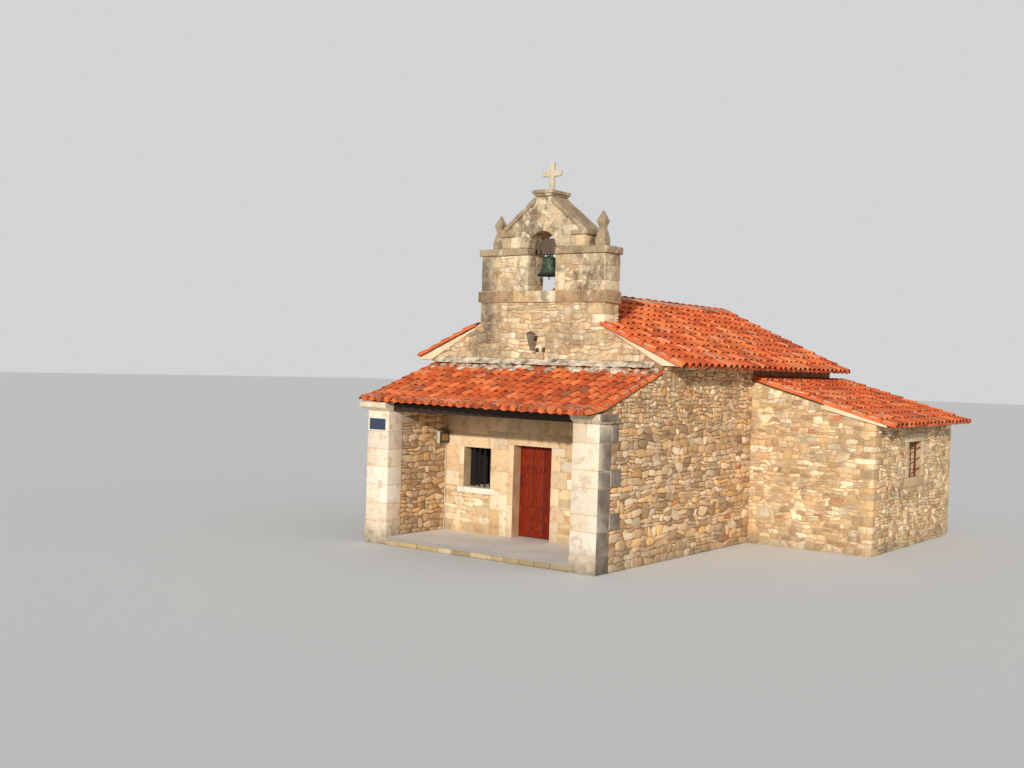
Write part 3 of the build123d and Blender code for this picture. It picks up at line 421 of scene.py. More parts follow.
def lay_rubble(heap, wall, length, bottom, top, gaps=(), course=(0.09, 0.17), stone=(0.12, 0.32),
               proud=(0.008, 0.022), wave=0.035, fine=99.0, joint=0.011):
    """Courses of rubble between a bottom and a top, which may rake, around gaps for blocks and openings.

    A course's rise, a stone's length and how far it stands proud are drawn between two limits. Above the
    height called fine the stones are half the size."""
    draw, chance = heap.random.uniform, heap.random.random
    highest = max(top(length * i / 20) for i in range(21))
    shift = draw(0, 50)
    swirl, uneven, thinnest = 0.085, 0.005, 0.018
    level, carried = bottom, []

    def bed(height, across):
        """A wavy line that two courses share; it is level at the wall's foot."""
        swing = wave * min(1.0, (height - bottom) * 4)
        return height + swing * noise.noise(Vector((across * 1.7 + shift, height * 3.0, shift)))

    def drift(across, up):
        """Moves a point of the pattern, less and less towards the wall's limits and the gaps."""
        room = min(across, length - across, up - bottom, top(across) - up)
        for left, low, right, high in gaps:
            room = min(room, max(left - across, across - right, low - up, up - high))
        share = swirl * min(1.0, max(0.0, room) / 0.12)
        spot = Vector((across * 3.6 + shift, up * 4.6, shift))
        return across + share * noise.noise(spot), up + 0.8 * share * noise.noise(spot + Vector((31, 17, 5)))

    def kept_clear(across, up, middle):
        """A height that stays on its own side of the gaps."""
        for left, low, right, high in gaps:
            if left - 0.004 < across < right + 0.004:
                up = min(up, low - 0.005) if middle < low else max(up, high + 0.005) if middle > high else up
        return up

    def outline(sides, slants, low, high, limits):
        """A stone's four corners in its course, half a joint inside its own share of it."""
        quad = []
        for end, share in ((0, low), (1, low), (1, high), (0, high)):
            across = sides[end] + slants[end] * (share * 2 - 1)
            across += draw(-uneven, uneven) + (-joint / 2 if end else joint / 2)
            across = min(max(across, limits[0] + joint / 2), limits[1] - joint / 2)
            up = bed(level + rise * share, across) + draw(-uneven, uneven)
            up += joint / 2 if share == low else -joint / 2
            up = kept_clear(across, up, level + rise * (low + high) / 2)
            quad.append((across, max(bottom + 0.004, min(up, top(across) - 0.005))))
        return quad

    def lay_stone(quad):
        """A field stone drawn between four corners, turned over at random, its face leaning a little."""
        out = draw(*proud)
        lean = [draw(-0.6, 0.5) for _ in range(4)]
        turned = chance() < 0.5, chance() < 0.5
        master_corners, master_faces = heap.random.choice(field_stones)
        corners = []
        for s, t, d in master_corners:
            s, t = 1 - s if turned[0] else s, 1 - t if turned[1] else t
            shares = ((1 - s) * (1 - t), s * (1 - t), s * t, (1 - s) * t)
            across, up = (sum(w * corner[i] for w, corner in zip(shares, quad)) for i in (0, 1))
            tilt = sum(w * k for w, k in zip(shares, lean)) if d > 0.5 else 0
            corners.append(wall.point(*drift(across, up), out * (d + tilt) if d > 0.02 else -0.012))
        heap.lay(corners, master_faces if turned[0] == turned[1] else [face[::-1] for face in master_faces])

    while level < highest - 0.03:
        size = 0.6 if level > fine else 1.0
        rise = draw(*course) * size
        stops = [z for gap in gaps for z in (gap[1], gap[3]) if level + 0.05 < z < level + rise + 0.05]
        rise = min(stops) - level if stops else rise
        taken = list(carried)
        taken += [(g[0], g[2]) for g in gaps if min(g[3], level + rise) - max(g[1], level) > 0.25 * rise]
        carried = []
        for start, end in free_spans(length, taken):
            place, slant = start, 0.0
            while place < end - 0.03:
                far = place + draw(*stone) * size * (0.75 + rise * 2.2)
                far = end if end - far < stone[0] * 0.7 * size else far
                far_slant = 0.0 if far == end else draw(-0.03, 0.03) * size
                shares = [(0.0, 1.0)]
                if chance() < 0.1 and rise < 0.14 and far - place < 0.3:
                    shares = [(0.0, 1.75)]
                    carried.append((place, far))
                elif rise > 0.11 and chance() < 0.28:
                    split = draw(0.4, 0.6)
                    shares = [(0.0, split), (split, 1.0)]
                for low, high in shares:
                    quad = outline((place, far), (slant, far_slant), low, high, (start, end))
                    if min(quad[2][1] - quad[1][1], quad[3][1] - quad[0][1]) >= thinnest:
                        lay_stone(quad)
                place, slant = far, far_slant
        level += rise


rubble_tones = [(190, 148, 102), (246, 210, 162), (228, 182, 128), (252, 224, 184), (212, 178, 142), (246, 190, 118),
                (236, 196, 148), (178, 140, 100), (250, 214, 166)]
rubble = masonry("field_rubble", rubble_tones, (0.8, 1.2), lichen=0.02, relief=0.8, crust=0.25, brick=True)

# The stones are laid on the walls' outer faces, up to the roofs' undersides. Both lie here where the
# solids have them.
nave_side, nave_front, nave_rear = 3.1, -4.5, 4.52
sacristy_front, sacristy_rear, sacristy_end = -0.18, 5.32, 6.08
porch_front, porch_left, porch_right, slab_top = -6.37, -2.3, 2.5, 0.18
to_left, to_right, to_front, to_rear = (-1, 0, 0), (1, 0, 0), (0, -1, 0), (0, 1, 0)


def nave_under(x):
    """The nave roof's underside, which falls from the ridge to both sides."""
    return 5.665 - 0.44 * abs(x)


def sacristy_under(x):
    """The sacristy roof's underside, which falls away from the nave's wall."""
    return 3.815 - 0.28 * (x - nave_side)


capital_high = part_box("pier_capitals")[1]
porch_low, porch_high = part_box("porch_roof")
bend = capital_high.z + 0.0153


def porch_under(y):
    """The porch roof's underside, which rises from the capitals to the gable wall."""
    return bend + (porch_high.z - 0.165 - bend) / (porch_high.y + 6.825) * (y + 6.825)


# Quoins: larger squared stones bond each corner, long and short in turn. They are laid before the
# rubble, which stops at their ends.
def quoins(heap, corner, inward, height, lengths=(0.52, 0.3), rise=(0.24, 0.34), proud=0.018, rough=0.15,
           arris=0.012):
    """Corner stones up to a height, and the gaps that they need in the two walls."""
    gaps_x, gaps_y = [], []
    level, turn = 0.0, 0
    while level < height - 0.05:
        step = min(heap.random.uniform(*rise), height - level)
        if height - level - step < 0.12:
            step = height - level
        long_x, long_y = lengths if turn % 2 else lengths[::-1]
        long_x *= heap.random.uniform(1 - rough, 1 + rough)
        long_y *= heap.random.uniform(1 - rough, 1 + rough)
        xs = sorted((corner[0] - inward[0] * proud, corner[0] + inward[0] * long_x))
        ys = sorted((corner[1] - inward[1] * proud, corner[1] + inward[1] * long_y))
        heap.block((xs[0], ys[0], max(level + 0.006, 0.01)), (xs[1], ys[1], level + step - 0.005), arris, arris / 3)
        gaps_x.append((long_x, level, step))
        gaps_y.append((long_y, level, step))
        level += step
        turn += 1
    return gaps_x, gaps_y


def gaps_at_start(stack):
    return [(0, level, size + 0.006, level + step) for size, level, step in stack]


def gaps_at_end(stack, length):
    return [(length - size - 0.006, level, length, level + step) for size, level, step in stack]


quoin_tones = [(230, 200, 152), (240, 216, 176), (220, 184, 134), (244, 224, 190), (208, 182, 146)]
quoin_stone = masonry("quoin_stone", quoin_tones, (0.88, 1.06), lichen=0.04)
corner_stones = Heap(11)
_, left_quoins_y = quoins(corner_stones, (-nave_side, nave_front), (1, 1), 4.06, (0.19, 0.19))
rear_left_x, rear_left_y = quoins(corner_stones, (-nave_side, nave_rear), (1, -1), 4.29)
rear_right_x, _ = quoins(corner_stones, (nave_side, nave_rear), (-1, -1), 4.29, (0.5, 0.02))
corner_stones.build("corner_quoins", quoin_stone, "dressed_stone")
sacristy_corners = Heap(12)
near_x, near_y = quoins(sacristy_corners, (sacristy_end, sacristy_front), (-1, 1), 2.97, (0.34, 0.17), (0.1, 0.22),
                        0.014, 0.45, 0.024)
far_x, far_y = quoins(sacristy_corners, (sacristy_end, sacristy_rear), (-1, -1), 2.97, (0.4, 0.22), (0.14, 0.26),
                      0.014, 0.3, 0.024)


# The porch's and the nave's rubble: big brown and yellow stones, smaller under the porch's eave. Some
# of the piers' stones run back into the side walls.
def right_wall_top(u):
    """The right wall runs on from the porch to the nave, under both roofs."""
    y = u + porch_front
    return porch_under(y) if y < nave_front else 4.066 if y < -4.2 else nave_under(nave_side)


right_bonders = ((0.82, 1.15, 0.36), (1.67, 2.01, 0.36), (2.54, 2.91, 0.22))
left_bonders = ((0.9, 1.3, 0.36), (1.7, 2.08, 0.36))
porch_rubble = Heap(21)
lay_rubble(porch_rubble, Wall((nave_side, porch_front), to_rear, to_right), 6.19, 0.0, right_wall_top,
           [(0, low, reach + 0.01, high) for low, high, reach in right_bonders], (0.1, 0.2), (0.14, 0.36), fine=2.7)
lay_rubble(porch_rubble, Wall((porch_left, porch_front), to_rear, to_right), 1.53, slab_top,
           lambda u: porch_under(u + porch_front), proud=(0.005, 0.014), joint=0.02)
lay_rubble(porch_rubble, Wall((porch_right, -4.84), to_front, to_left), 1.53, slab_top,
           lambda u: porch_under(-4.84 - u))
lay_rubble(porch_rubble, Wall((-2.9, nave_front), to_front, to_left), 1.87, 0.0,
           lambda u: porch_under(nave_front - u),
           [(1.86 - reach, low, 1.87, high) for low, high, reach in left_bonders])
porch_rubble.build("porch_wall_rubble", rubble, "rubble_masonry")

nave_rubble = Heap(22)
lay_rubble(nave_rubble, Wall((-nave_side, nave_rear), to_front, to_left), 9.02, 0.0,
           lambda u: 4.066 if u > 8.7 else nave_under(nave_side),
           gaps_at_start(rear_left_y) + gaps_at_end(left_quoins_y, 9.02))
lay_rubble(nave_rubble, Wall((nave_side, nave_rear), to_left, to_rear), 2 * nave_side, 0.0,
           lambda u: nave_under(nave_side - u), gaps_at_start(rear_right_x) + gaps_at_end(rear_left_x, 2 * nave_side))
nave_rubble.build("nave_wall_rubble", rubble, "rubble_masonry")

# The sacristy's rubble is paler and of smaller stones, with rough corner stones of the same kind. Its
# end window has a surround of squared blocks.
window_gap = (2.29, 1.63, 3.24, 2.47)
surround = Heap(31)
surround_gaps = [window_gap]
for near_end, lower, far_end, upper in (
    (2.05, 1.63, 2.29, 1.92), (2.12, 1.92, 2.29, 2.2), (2.03, 2.2, 2.29, 2.47), (3.24, 1.63, 3.5, 1.9),
    (3.24, 1.9, 3.42, 2.18), (3.24, 2.18, 3.5, 2.47), (2.02, 1.4, 3.5, 1.63), (2.02, 2.47, 3.46, 2.68),
):
    surround.block((6.0, near_end + sacristy_front + 0.004, lower + 0.004),
                   (6.098, far_end + sacristy_front - 0.004, upper - 0.004), 0.01, 0.003)
    surround_gaps.append((near_end, lower, far_end, upper))
surround.build("sacristy_window_surround", quoin_stone, "dressed_stone")

sacristy_rubble = Heap(23)
fine_course, fine_stone, depth_out = (0.07, 0.14), (0.11, 0.3), 2.98
lay_rubble(sacristy_rubble, Wall((nave_side, sacristy_front), to_right, to_front), depth_out, 0.0,
           lambda u: sacristy_under(u + nave_side), gaps_at_end(near_x, depth_out), fine_course, fine_stone)
lay_rubble(sacristy_rubble, Wall((sacristy_end, sacristy_front), to_rear, to_right), 5.5, 0.0, lambda u: 2.98,
           gaps_at_start(near_y) + gaps_at_end(far_y, 5.5) + surround_gaps, fine_course, fine_stone)
lay_rubble(sacristy_rubble, Wall((sacristy_end, sacristy_rear), to_left, to_rear), depth_out, 0.0,
           lambda u: sacristy_under(sacristy_end - u), gaps_at_start(far_x))
lay_rubble(sacristy_rubble, Wall((nave_side, sacristy_rear), to_front, to_left), 0.8, 0.0, lambda u: 3.815)
sacristy_tones = [(238, 202, 150), (248, 218, 172), (222, 178, 122), (252, 232, 194), (200, 160, 112), (244, 206, 152)]
sacristy_stone = masonry("sacristy_rubble_stone", sacristy_tones, (0.8, 1.26), relief=0.8, crust=0.36, brick=True)
sacristy_rubble.build("sacristy_wall_rubble", sacristy_stone, "rubble_masonry")
sacristy_corners.build("sacristy_corner_stones", sacristy_stone, "rubble_masonry")

# The gable above the porch and the bell gable's base are of smaller rubble. The base has corner
# stones, two high on each side.
gable_tones = [(244, 220, 178), (232, 198, 146), (248, 230, 196), (222, 190, 144), (238, 210, 162), (206, 182, 146)]
gable_stone = masonry("gable_rubble_stone", gable_tones, (0.82, 1.14), lichen=0.04, crust=0.5, sooty=-1.5)
gable_rubble = Heap(24)
gable_back, base_side, base_foot, base_head = -3.92, 1.655, 4.95, 5.41


def gable_top(u):
    """The gable's rubble stops under the raking plaster bands."""
    x = abs(u - nave_side)
    return base_head if x < base_side else 4.877 - 0.5577 * (x - base_side)


def base_quoins(side):
    """Corner stones of the bell gable's base, greyed by the weather."""
    gaps, level = [], base_foot
    for step, size, deep in ((0.2, 0.3, 0.46), (0.26, 0.44, 0.3)):
        xs = sorted((side * (base_side + 0.012), side * (base_side - size)))
        base_stones.block((xs[0], nave_front - 0.012, level + 0.004), (xs[1], nave_front + deep, level + step - 0.004),
                          0.012, 0.004)
        start = nave_side + xs[0]
        gaps.append((start, level, start + size, level + step))
        level += step
    return gaps


base_stones = Heap(25)
base_gaps = base_quoins(-1) + base_quoins(1)
base_stones.build("belfry_base_quoins", gable_stone, "dressed_stone")
lay_rubble(gable_rubble, Wall((-nave_side, nave_front), to_right, to_front), 2 * nave_side, 4.15, gable_top, base_gaps,
           (0.08, 0.15), (0.12, 0.32), wave=0.03)
for side in (-1, 1):
    lay_rubble(gable_rubble, Wall((side * base_side, -4.05 if side > 0 else gable_back), (0, side, 0), (side, 0, 0)),
               0.13, base_foot, lambda u: base_head)
lay_rubble(gable_rubble, Wall((base_side, gable_back), to_left, to_rear), 2 * base_side, 5.0, lambda u: base_head)
gable_rubble.build("gable_rubble_stones", gable_stone, "rubble_masonry")


# The wall behind the porch is faced with pale squared blocks, larger than the rubble and laid with
# fine joints. Long lintels bridge the window and the doorway, and jamb stones line the reveals.
facade_tones = [(246, 208, 158), (248, 218, 174), (236, 192, 138), (252, 228, 190), (242, 204, 154)]
facade_stone = masonry("facade_ashlar", facade_tones, (0.88, 1.06), lichen=-0.06, relief=0.4, stain=0.75)
facade_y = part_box("facade_centre")[0].y
facade = Heap(41)
window_head, door_head = 2.111, 2.228
window_left, window_right, door_left, door_right = -1.768, -1.002, -0.368, 0.644
facade_blocks = [
    (porch_left, 1.22, -1.9, 1.54), (porch_left, 1.54, -1.9, 1.85), (porch_left, 1.85, -1.9, 2.11),
    (porch_left, 2.11, -1.87, 2.42), (-1.9, 1.208, window_left, 1.7), (-1.9, 1.7, window_left, 2.11),
    (-1.87, window_head, -0.93, 2.42), (-0.93, window_head, -0.55, 2.5), (window_right, 1.62, -0.52, window_head),
    (window_right, 1.17, -0.52, 1.62), (-1.0, 0.75, -0.52, 1.17), (-1.0, slab_top, -0.72, 0.75),
    (-0.72, slab_top, -0.52, 0.75), (-0.52, slab_top, door_left, 0.9), (-0.52, 0.9, door_left, 1.62),
    (-0.52, 1.62, door_left, door_head), (-0.55, door_head, 0.82, 2.5), (door_right, slab_top, 0.86, 0.62),
    (door_right, 0.62, 1.02, 0.98), (door_right, 0.98, 0.86, 1.36), (door_right, 1.36, 1.06, 1.72),
    (door_right, 1.72, 0.88, 2.05), (door_right, 2.05, 1.0, door_head), (0.82, door_head, 1.45, 2.5),
    (1.45, door_head, 2.06, 2.5), (2.06, door_head, porch_right, 2.5),
]
jamb_gaps = [(0, low, right - 0.64, high) for left, low, right, high in facade_blocks if left == door_right]
head_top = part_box("facade_head")[1].z
for row, (row_low, row_high) in enumerate(((2.5, 2.82), (2.82, 3.12), (3.12, 3.4), (3.4, head_top))):
    place = porch_left
    while place < 2.48:
        end = min(place + facade.random.uniform(0.45, 0.95), porch_right)
        end = porch_right if porch_right - end < 0.3 else end
        low = 2.42 if row == 0 and end < -0.85 else row_low
        facade_blocks.append((place, low, end, row_high))
        place = end
for left, low, right, high in facade_blocks:
    at_jamb = {left, right} & {window_left, window_right, door_left, door_right}
    lines_opening = at_jamb or (low in (window_head, door_head) and right < 1)
    back = -4.57 if lines_opening else facade_y + 0.03
    facade.block((left + 0.0025, facade_y - 0.005, low + 0.0025), (right - 0.0025, back, high - 0.0025), 0.006, 0.0015)
facade.build("facade_ashlar_blocks", facade_stone, "dressed_stone")
coat(facade_stone, "door_lintel", "window_lintel")

# Below the window and to the right of the doorway the facing is of flush rubble, pointed nearly over.
# The sill's ends run into it.
apron = Heap(42)
lay_rubble(apron, Wall((door_right, facade_y), to_right, to_front), 1.856, slab_top, lambda u: 2.226, jamb_gaps,
           (0.14, 0.26), (0.16, 0.4), (0.002, 0.005), 0.05)
lay_rubble(apron, Wall((porch_left, facade_y), to_right, to_front), 1.3, slab_top,
           lambda u: 1.068 if 0.4 < u else 1.21, course=(0.13, 0.22), stone=(0.14, 0.3), proud=(0.002, 0.005),
           wave=0.05)
apron_tones = [(240, 200, 144), (252, 224, 180), (222, 176, 118), (254, 236, 200)]
apron_stone = masonry("flush_rubble", apron_tones, lichen=-0.04, stain=0.75)
apron.build("under_window_rubble", apron_stone, "rubble_masonry")


# Dressed pieces that were cut to a moulding: sill, capitals, imposts, copings, cap, cross, pinnacles.
# Each follows its solid, but its surface is slightly uneven and its edges are rounded by the weather.
def copied_solid(name, source):
    """A solid's own faces as a new mesh of tidy, flat polygons."""
    bpy.ops.object.select_all(action="DESELECT")
    piece = bpy.data.objects.new(name, nodes[source].data.copy())
    bpy.context.scene.collection.objects.link(piece)
    piece.select_set(True)
    bpy.context.view_layer.objects.active = piece
    bpy.ops.mesh.customdata_custom_splitnormals_clear()
    bpy.ops.object.mode_set(mode="EDIT")
    bpy.ops.mesh.select_all(action="SELECT")
    bpy.ops.mesh.remove_doubles(threshold=0.0001)
    bpy.ops.mesh.dissolve_limited(angle_limit=math.radians(2))
    bpy.ops.object.mode_set(mode="OBJECT")
    return piece


def worn(name, source, material, slot, grain=0.02, wear=0.005):
    """A weathered stone in place of its solid: remeshed finely, then each point wanders a little."""
    piece = copied_solid(name, source)
    finish_with(piece, "REMESH", mode="VOXEL", voxel_size=grain)
    for vertex in piece.data.vertices:
        place = vertex.co
        slow, quick = noise.noise(place * 5.0), noise.noise(place * 22.0)
        vertex.co = place + vertex.normal * wear * (slow * 0.9 + quick * 0.6 - 0.25)
    dress(piece, material, replaces=[source], smooth=None)


def edged(name, source, material, arris, body="building"):
    """A sawn piece in place of its solid, with small even arrises."""
    piece = copied_solid(name, source)
    finish_with(piece, "BEVEL", width=arris, segments=2, limit_method="ANGLE", angle_limit=math.radians(35))
    dress(piece, material, body, [source])


sill_stone = masonry("sill_stone", [(254, 242, 216), (254, 242, 216)], (1.0, 1.1), -0.3, relief=0.3, stain=0.9)
worn("window_sill_slab", "window_sill", sill_stone, "dressed_stone", 0.02, 0.004)

# Porch piers: big pale quoins, a whole stone and a pair in turn, under moulded capitals. Some of the
# pairs run back into the side wall. The lowest stones are wider and stained dark.
pier_tones = [(250, 230, 202), (246, 222, 188), (252, 238, 216), (238, 210, 172)]
# The piers' outer side, beyond x 3.104, is darkened with lichen and painted shade.
pier_stone = masonry("pier_ashlar", pier_tones, (0.9, 1.06), lichen=0.02, foot=0.8, relief=0.4, lichen_and_shade_from=3.104)
pier_mortar = Finish("pointing", 0.95)
pointing_buff = pier_mortar.tones(pier_mortar.noise(12, 6), (0.3, (206, 166, 128)), (0.7, (232, 196, 160)))
# On the piers' outer side the pointing is darkened too, with lichen and painted shade.
lichen_and_shade_side = pier_mortar.span(pier_mortar.along("X"), 3.096, 3.1)
pointing_buff = pier_mortar.mix(lichen_and_shade_side, pointing_buff, srgb(120, 104, 86))
coat(pier_mortar.colour(pointing_buff), "porch_piers")
pier_low, pier_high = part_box("porch_piers")
pier_blocks = Heap(51)
pier_width, swell = 0.6, 0.012
for left, right, courses in (
    (pier_low.x, pier_low.x + pier_width, (
        (0.0, 0.5, 0), (0.5, 0.9, 0), (0.9, 1.3, 0.36), (1.3, 1.7, 0), (1.7, 2.08, 0.25), (2.08, 2.46, 0),
        (2.46, 2.91, 0))),
    (pier_high.x - pier_width, pier_high.x, (
        (0.0, 0.36, 0), (0.36, 0.82, 0), (0.82, 1.15, 0.36), (1.15, 1.67, 0), (1.67, 2.01, 0.26), (2.01, 2.54, 0),
        (2.54, 2.91, 0.31))),
):
    for low, high, split in courses:
        stretch = 0.006 if low < 0.3 else 0.0
        cuts = [left - swell - stretch, right + swell + stretch]
        if split:
            cuts.insert(1, left + split)
        for start, end in zip(cuts, cuts[1:]):
            pier_blocks.block((start + 0.004, pier_low.y - swell - stretch, low + 0.005),
                              (end - 0.004, pier_high.y - 0.004, high - 0.005), 0.014, 0.003)
        if split:
            outer = right if right > 0 else left
            reach = next((bonder[2] for bonder in right_bonders + left_bonders if bonder[1] == high), 0.3)
            sides = (outer - 0.1, outer + 0.022) if right > 0 else (outer - 0.022, outer + 0.1)
            pier_blocks.block((sides[0], pier_high.y + 0.004, low + 0.01),
                              (sides[1], pier_high.y + reach, high - 0.01), 0.014, 0.004)
pier_blocks.build("porch_pier_blocks", pier_stone, "dressed_stone")
capital_tones = [(252, 232, 194), (244, 218, 174)]
# The capital's return beyond x 3.2 is darkened the same way, with lichen and painted shade.
capital_stone = masonry("capital_stone", capital_tones, (0.92, 1.08), -0.02, relief=0.6, lichen_and_shade_from=3.2, crust=0.25)
worn("porch_capitals", "pier_capitals", capital_stone, "dressed_stone", 0.018, 0.008)


# Porch timbers: an aged softwood beam from pier to pier and rafters up to the ledge, dark with age and
# darker still with the eave's shade painted in. The nave's purlins are of the same wood.
def grained(name, grain, tones, roughness, metallic=0.0, relief=None):
    """A finish whose tones follow one grain, and whose relief follows it too where it has any."""
    finish = Finish(name, roughness, metallic)
    pattern = finish.noise(*grain)
    if relief:
        finish.bump(pattern, *relief)
    return finish.colour(finish.tones(pattern, *tones))


softwood_aged_and_shaded = grained("softwood_aged_and_shaded", (9, 8, 0.7, (6, 1, 6)), ((0.3, (34, 22, 14)), (0.7, (66, 44, 28))), 0.8,
                        relief=(0.4, 0.004))
edged("porch_beam_sawn", "porch_beam", softwood_aged_and_shaded, 0.01)
edged("porch_rafters_sawn", "porch_rafters", softwood_aged_and_shaded, 0.006)
coat(softwood_aged_and_shaded, "roof_purlins")


# Roofs: barrel tiles of orange-red clay, channels below and covers above, bedded in grey mortar over
# boards. One cover, one channel and one mortar plug are modelled, and the roofs are copies of them.
def face_outwards():
    """Turns the faces of the piece at hand outwards."""
    bpy.ops.object.mode_set(mode="EDIT")
    bpy.ops.mesh.select_all(action="SELECT")
    bpy.ops.mesh.normals_make_consistent(inside=False)
    bpy.ops.object.mode_set(mode="OBJECT")


def half_tube(radius, far_radius, length, sides, thickness):
    """A tapering half tube along +Y, open below, modelled from a cylinder."""
    bpy.ops.object.select_all(action="DESELECT")
    bpy.ops.mesh.primitive_cylinder_add(vertices=sides * 2, radius=radius, depth=length, end_fill_type="NOTHING",
                                        location=(0, length / 2, 0), rotation=(math.radians(90), 0, 0))
    tube = bpy.context.object
    bpy.ops.object.transform_apply(location=True, rotation=True)
    bpy.ops.object.mode_set(mode="EDIT")
    bpy.ops.mesh.select_all(action="SELECT")
    bpy.ops.mesh.bisect(plane_co=(0, 0, 0), plane_no=(0, 0, 1), clear_inner=True)
    pick(tube, "VERT", lambda corner: corner.co.y > length / 2)
    bpy.ops.transform.resize(value=(far_radius / radius, 1, far_radius / radius), center_override=(0, length, 0))
    bpy.ops.object.mode_set(mode="OBJECT")
    finish_with(tube, "SOLIDIFY", thickness=thickness, offset=-1)
    face_outwards()
    return pick_up(tube)


tile_length = 0.45
cover_corners, cover_faces = half_tube(0.088, 0.06, tile_length, 7, 0.013)
# Each corner's unshaded share: 1 on the covers' outsides, 0 inside, where shade is painted.
cover_unshaded_share = [1.0 if math.hypot(x, z) > 0.082 - 0.028 * y / tile_length else 0.0 for x, y, z in cover_corners]
channel_radius = 0.085
channel_corners, channel_faces = half_tube(channel_radius, 0.1, tile_length, 5, 0.014)
bpy.ops.mesh.primitive_cylinder_add(vertices=14, radius=0.075, depth=0.05, rotation=(math.radians(90), 0, 0))
bpy.ops.object.transform_apply(rotation=True)
plug_corners, plug_faces = pick_up(bpy.context.object)


class Slope:
    """A roof surface from eave to top: points give the distance inwards and the height."""

    def __init__(self, points, place):
        self.points, self.place = points, place
        self.lengths = [math.dist(a, b) for a, b in zip(points, points[1:])]
        self.length = sum(self.lengths)

    def at(self, along):
        for (a, b), length in zip(zip(self.points, self.points[1:]), self.lengths):
            if along <= length or b == self.points[-1]:
                share = along / length
                return (a[0] + (b[0] - a[0]) * share, a[1] + (b[1] - a[1]) * share)
            along -= length

    def frame(self, across, along, run):
        """Place and directions for a tile that starts at a distance up the slope."""
        start, end = (Vector(self.place(across, *self.at(s))) for s in (along, along + run))
        up = (end - start).normalized()
        side = (Vector(self.place(across + 1, *self.at(along))) - start).normalized()
        out = side.cross(up)
        out = -out if out.z < 0 else out
        return start, up.cross(out), up, out


def lay_piece(heap, corners, faces, frame_at, shift, turn=0.0, tilt=0.0, scale=(1, 1, 1), flip=False, tint=None,
              unshaded_share=None):
    """One clay piece on a slope: shifted across, up and out, turned and tilted a little."""
    start, side, up, out = frame_at
    turned = []
    for corner in corners:
        x, y, z = corner[0] * scale[0], corner[1] * scale[1], corner[2] * scale[2]
        if flip:
            x, z = -x, -z
        x, y = x * math.cos(turn) - y * math.sin(turn), x * math.sin(turn) + y * math.cos(turn)
        y, z = y * math.cos(tilt) - z * math.sin(tilt), y * math.sin(tilt) + z * math.cos(tilt)
        turned.append(start + side * (x + shift[0]) + up * (y + shift[1]) + out * (z + shift[2]))
    heap.lay(turned, faces, tint, unshaded_share)


verge_width = 0.15


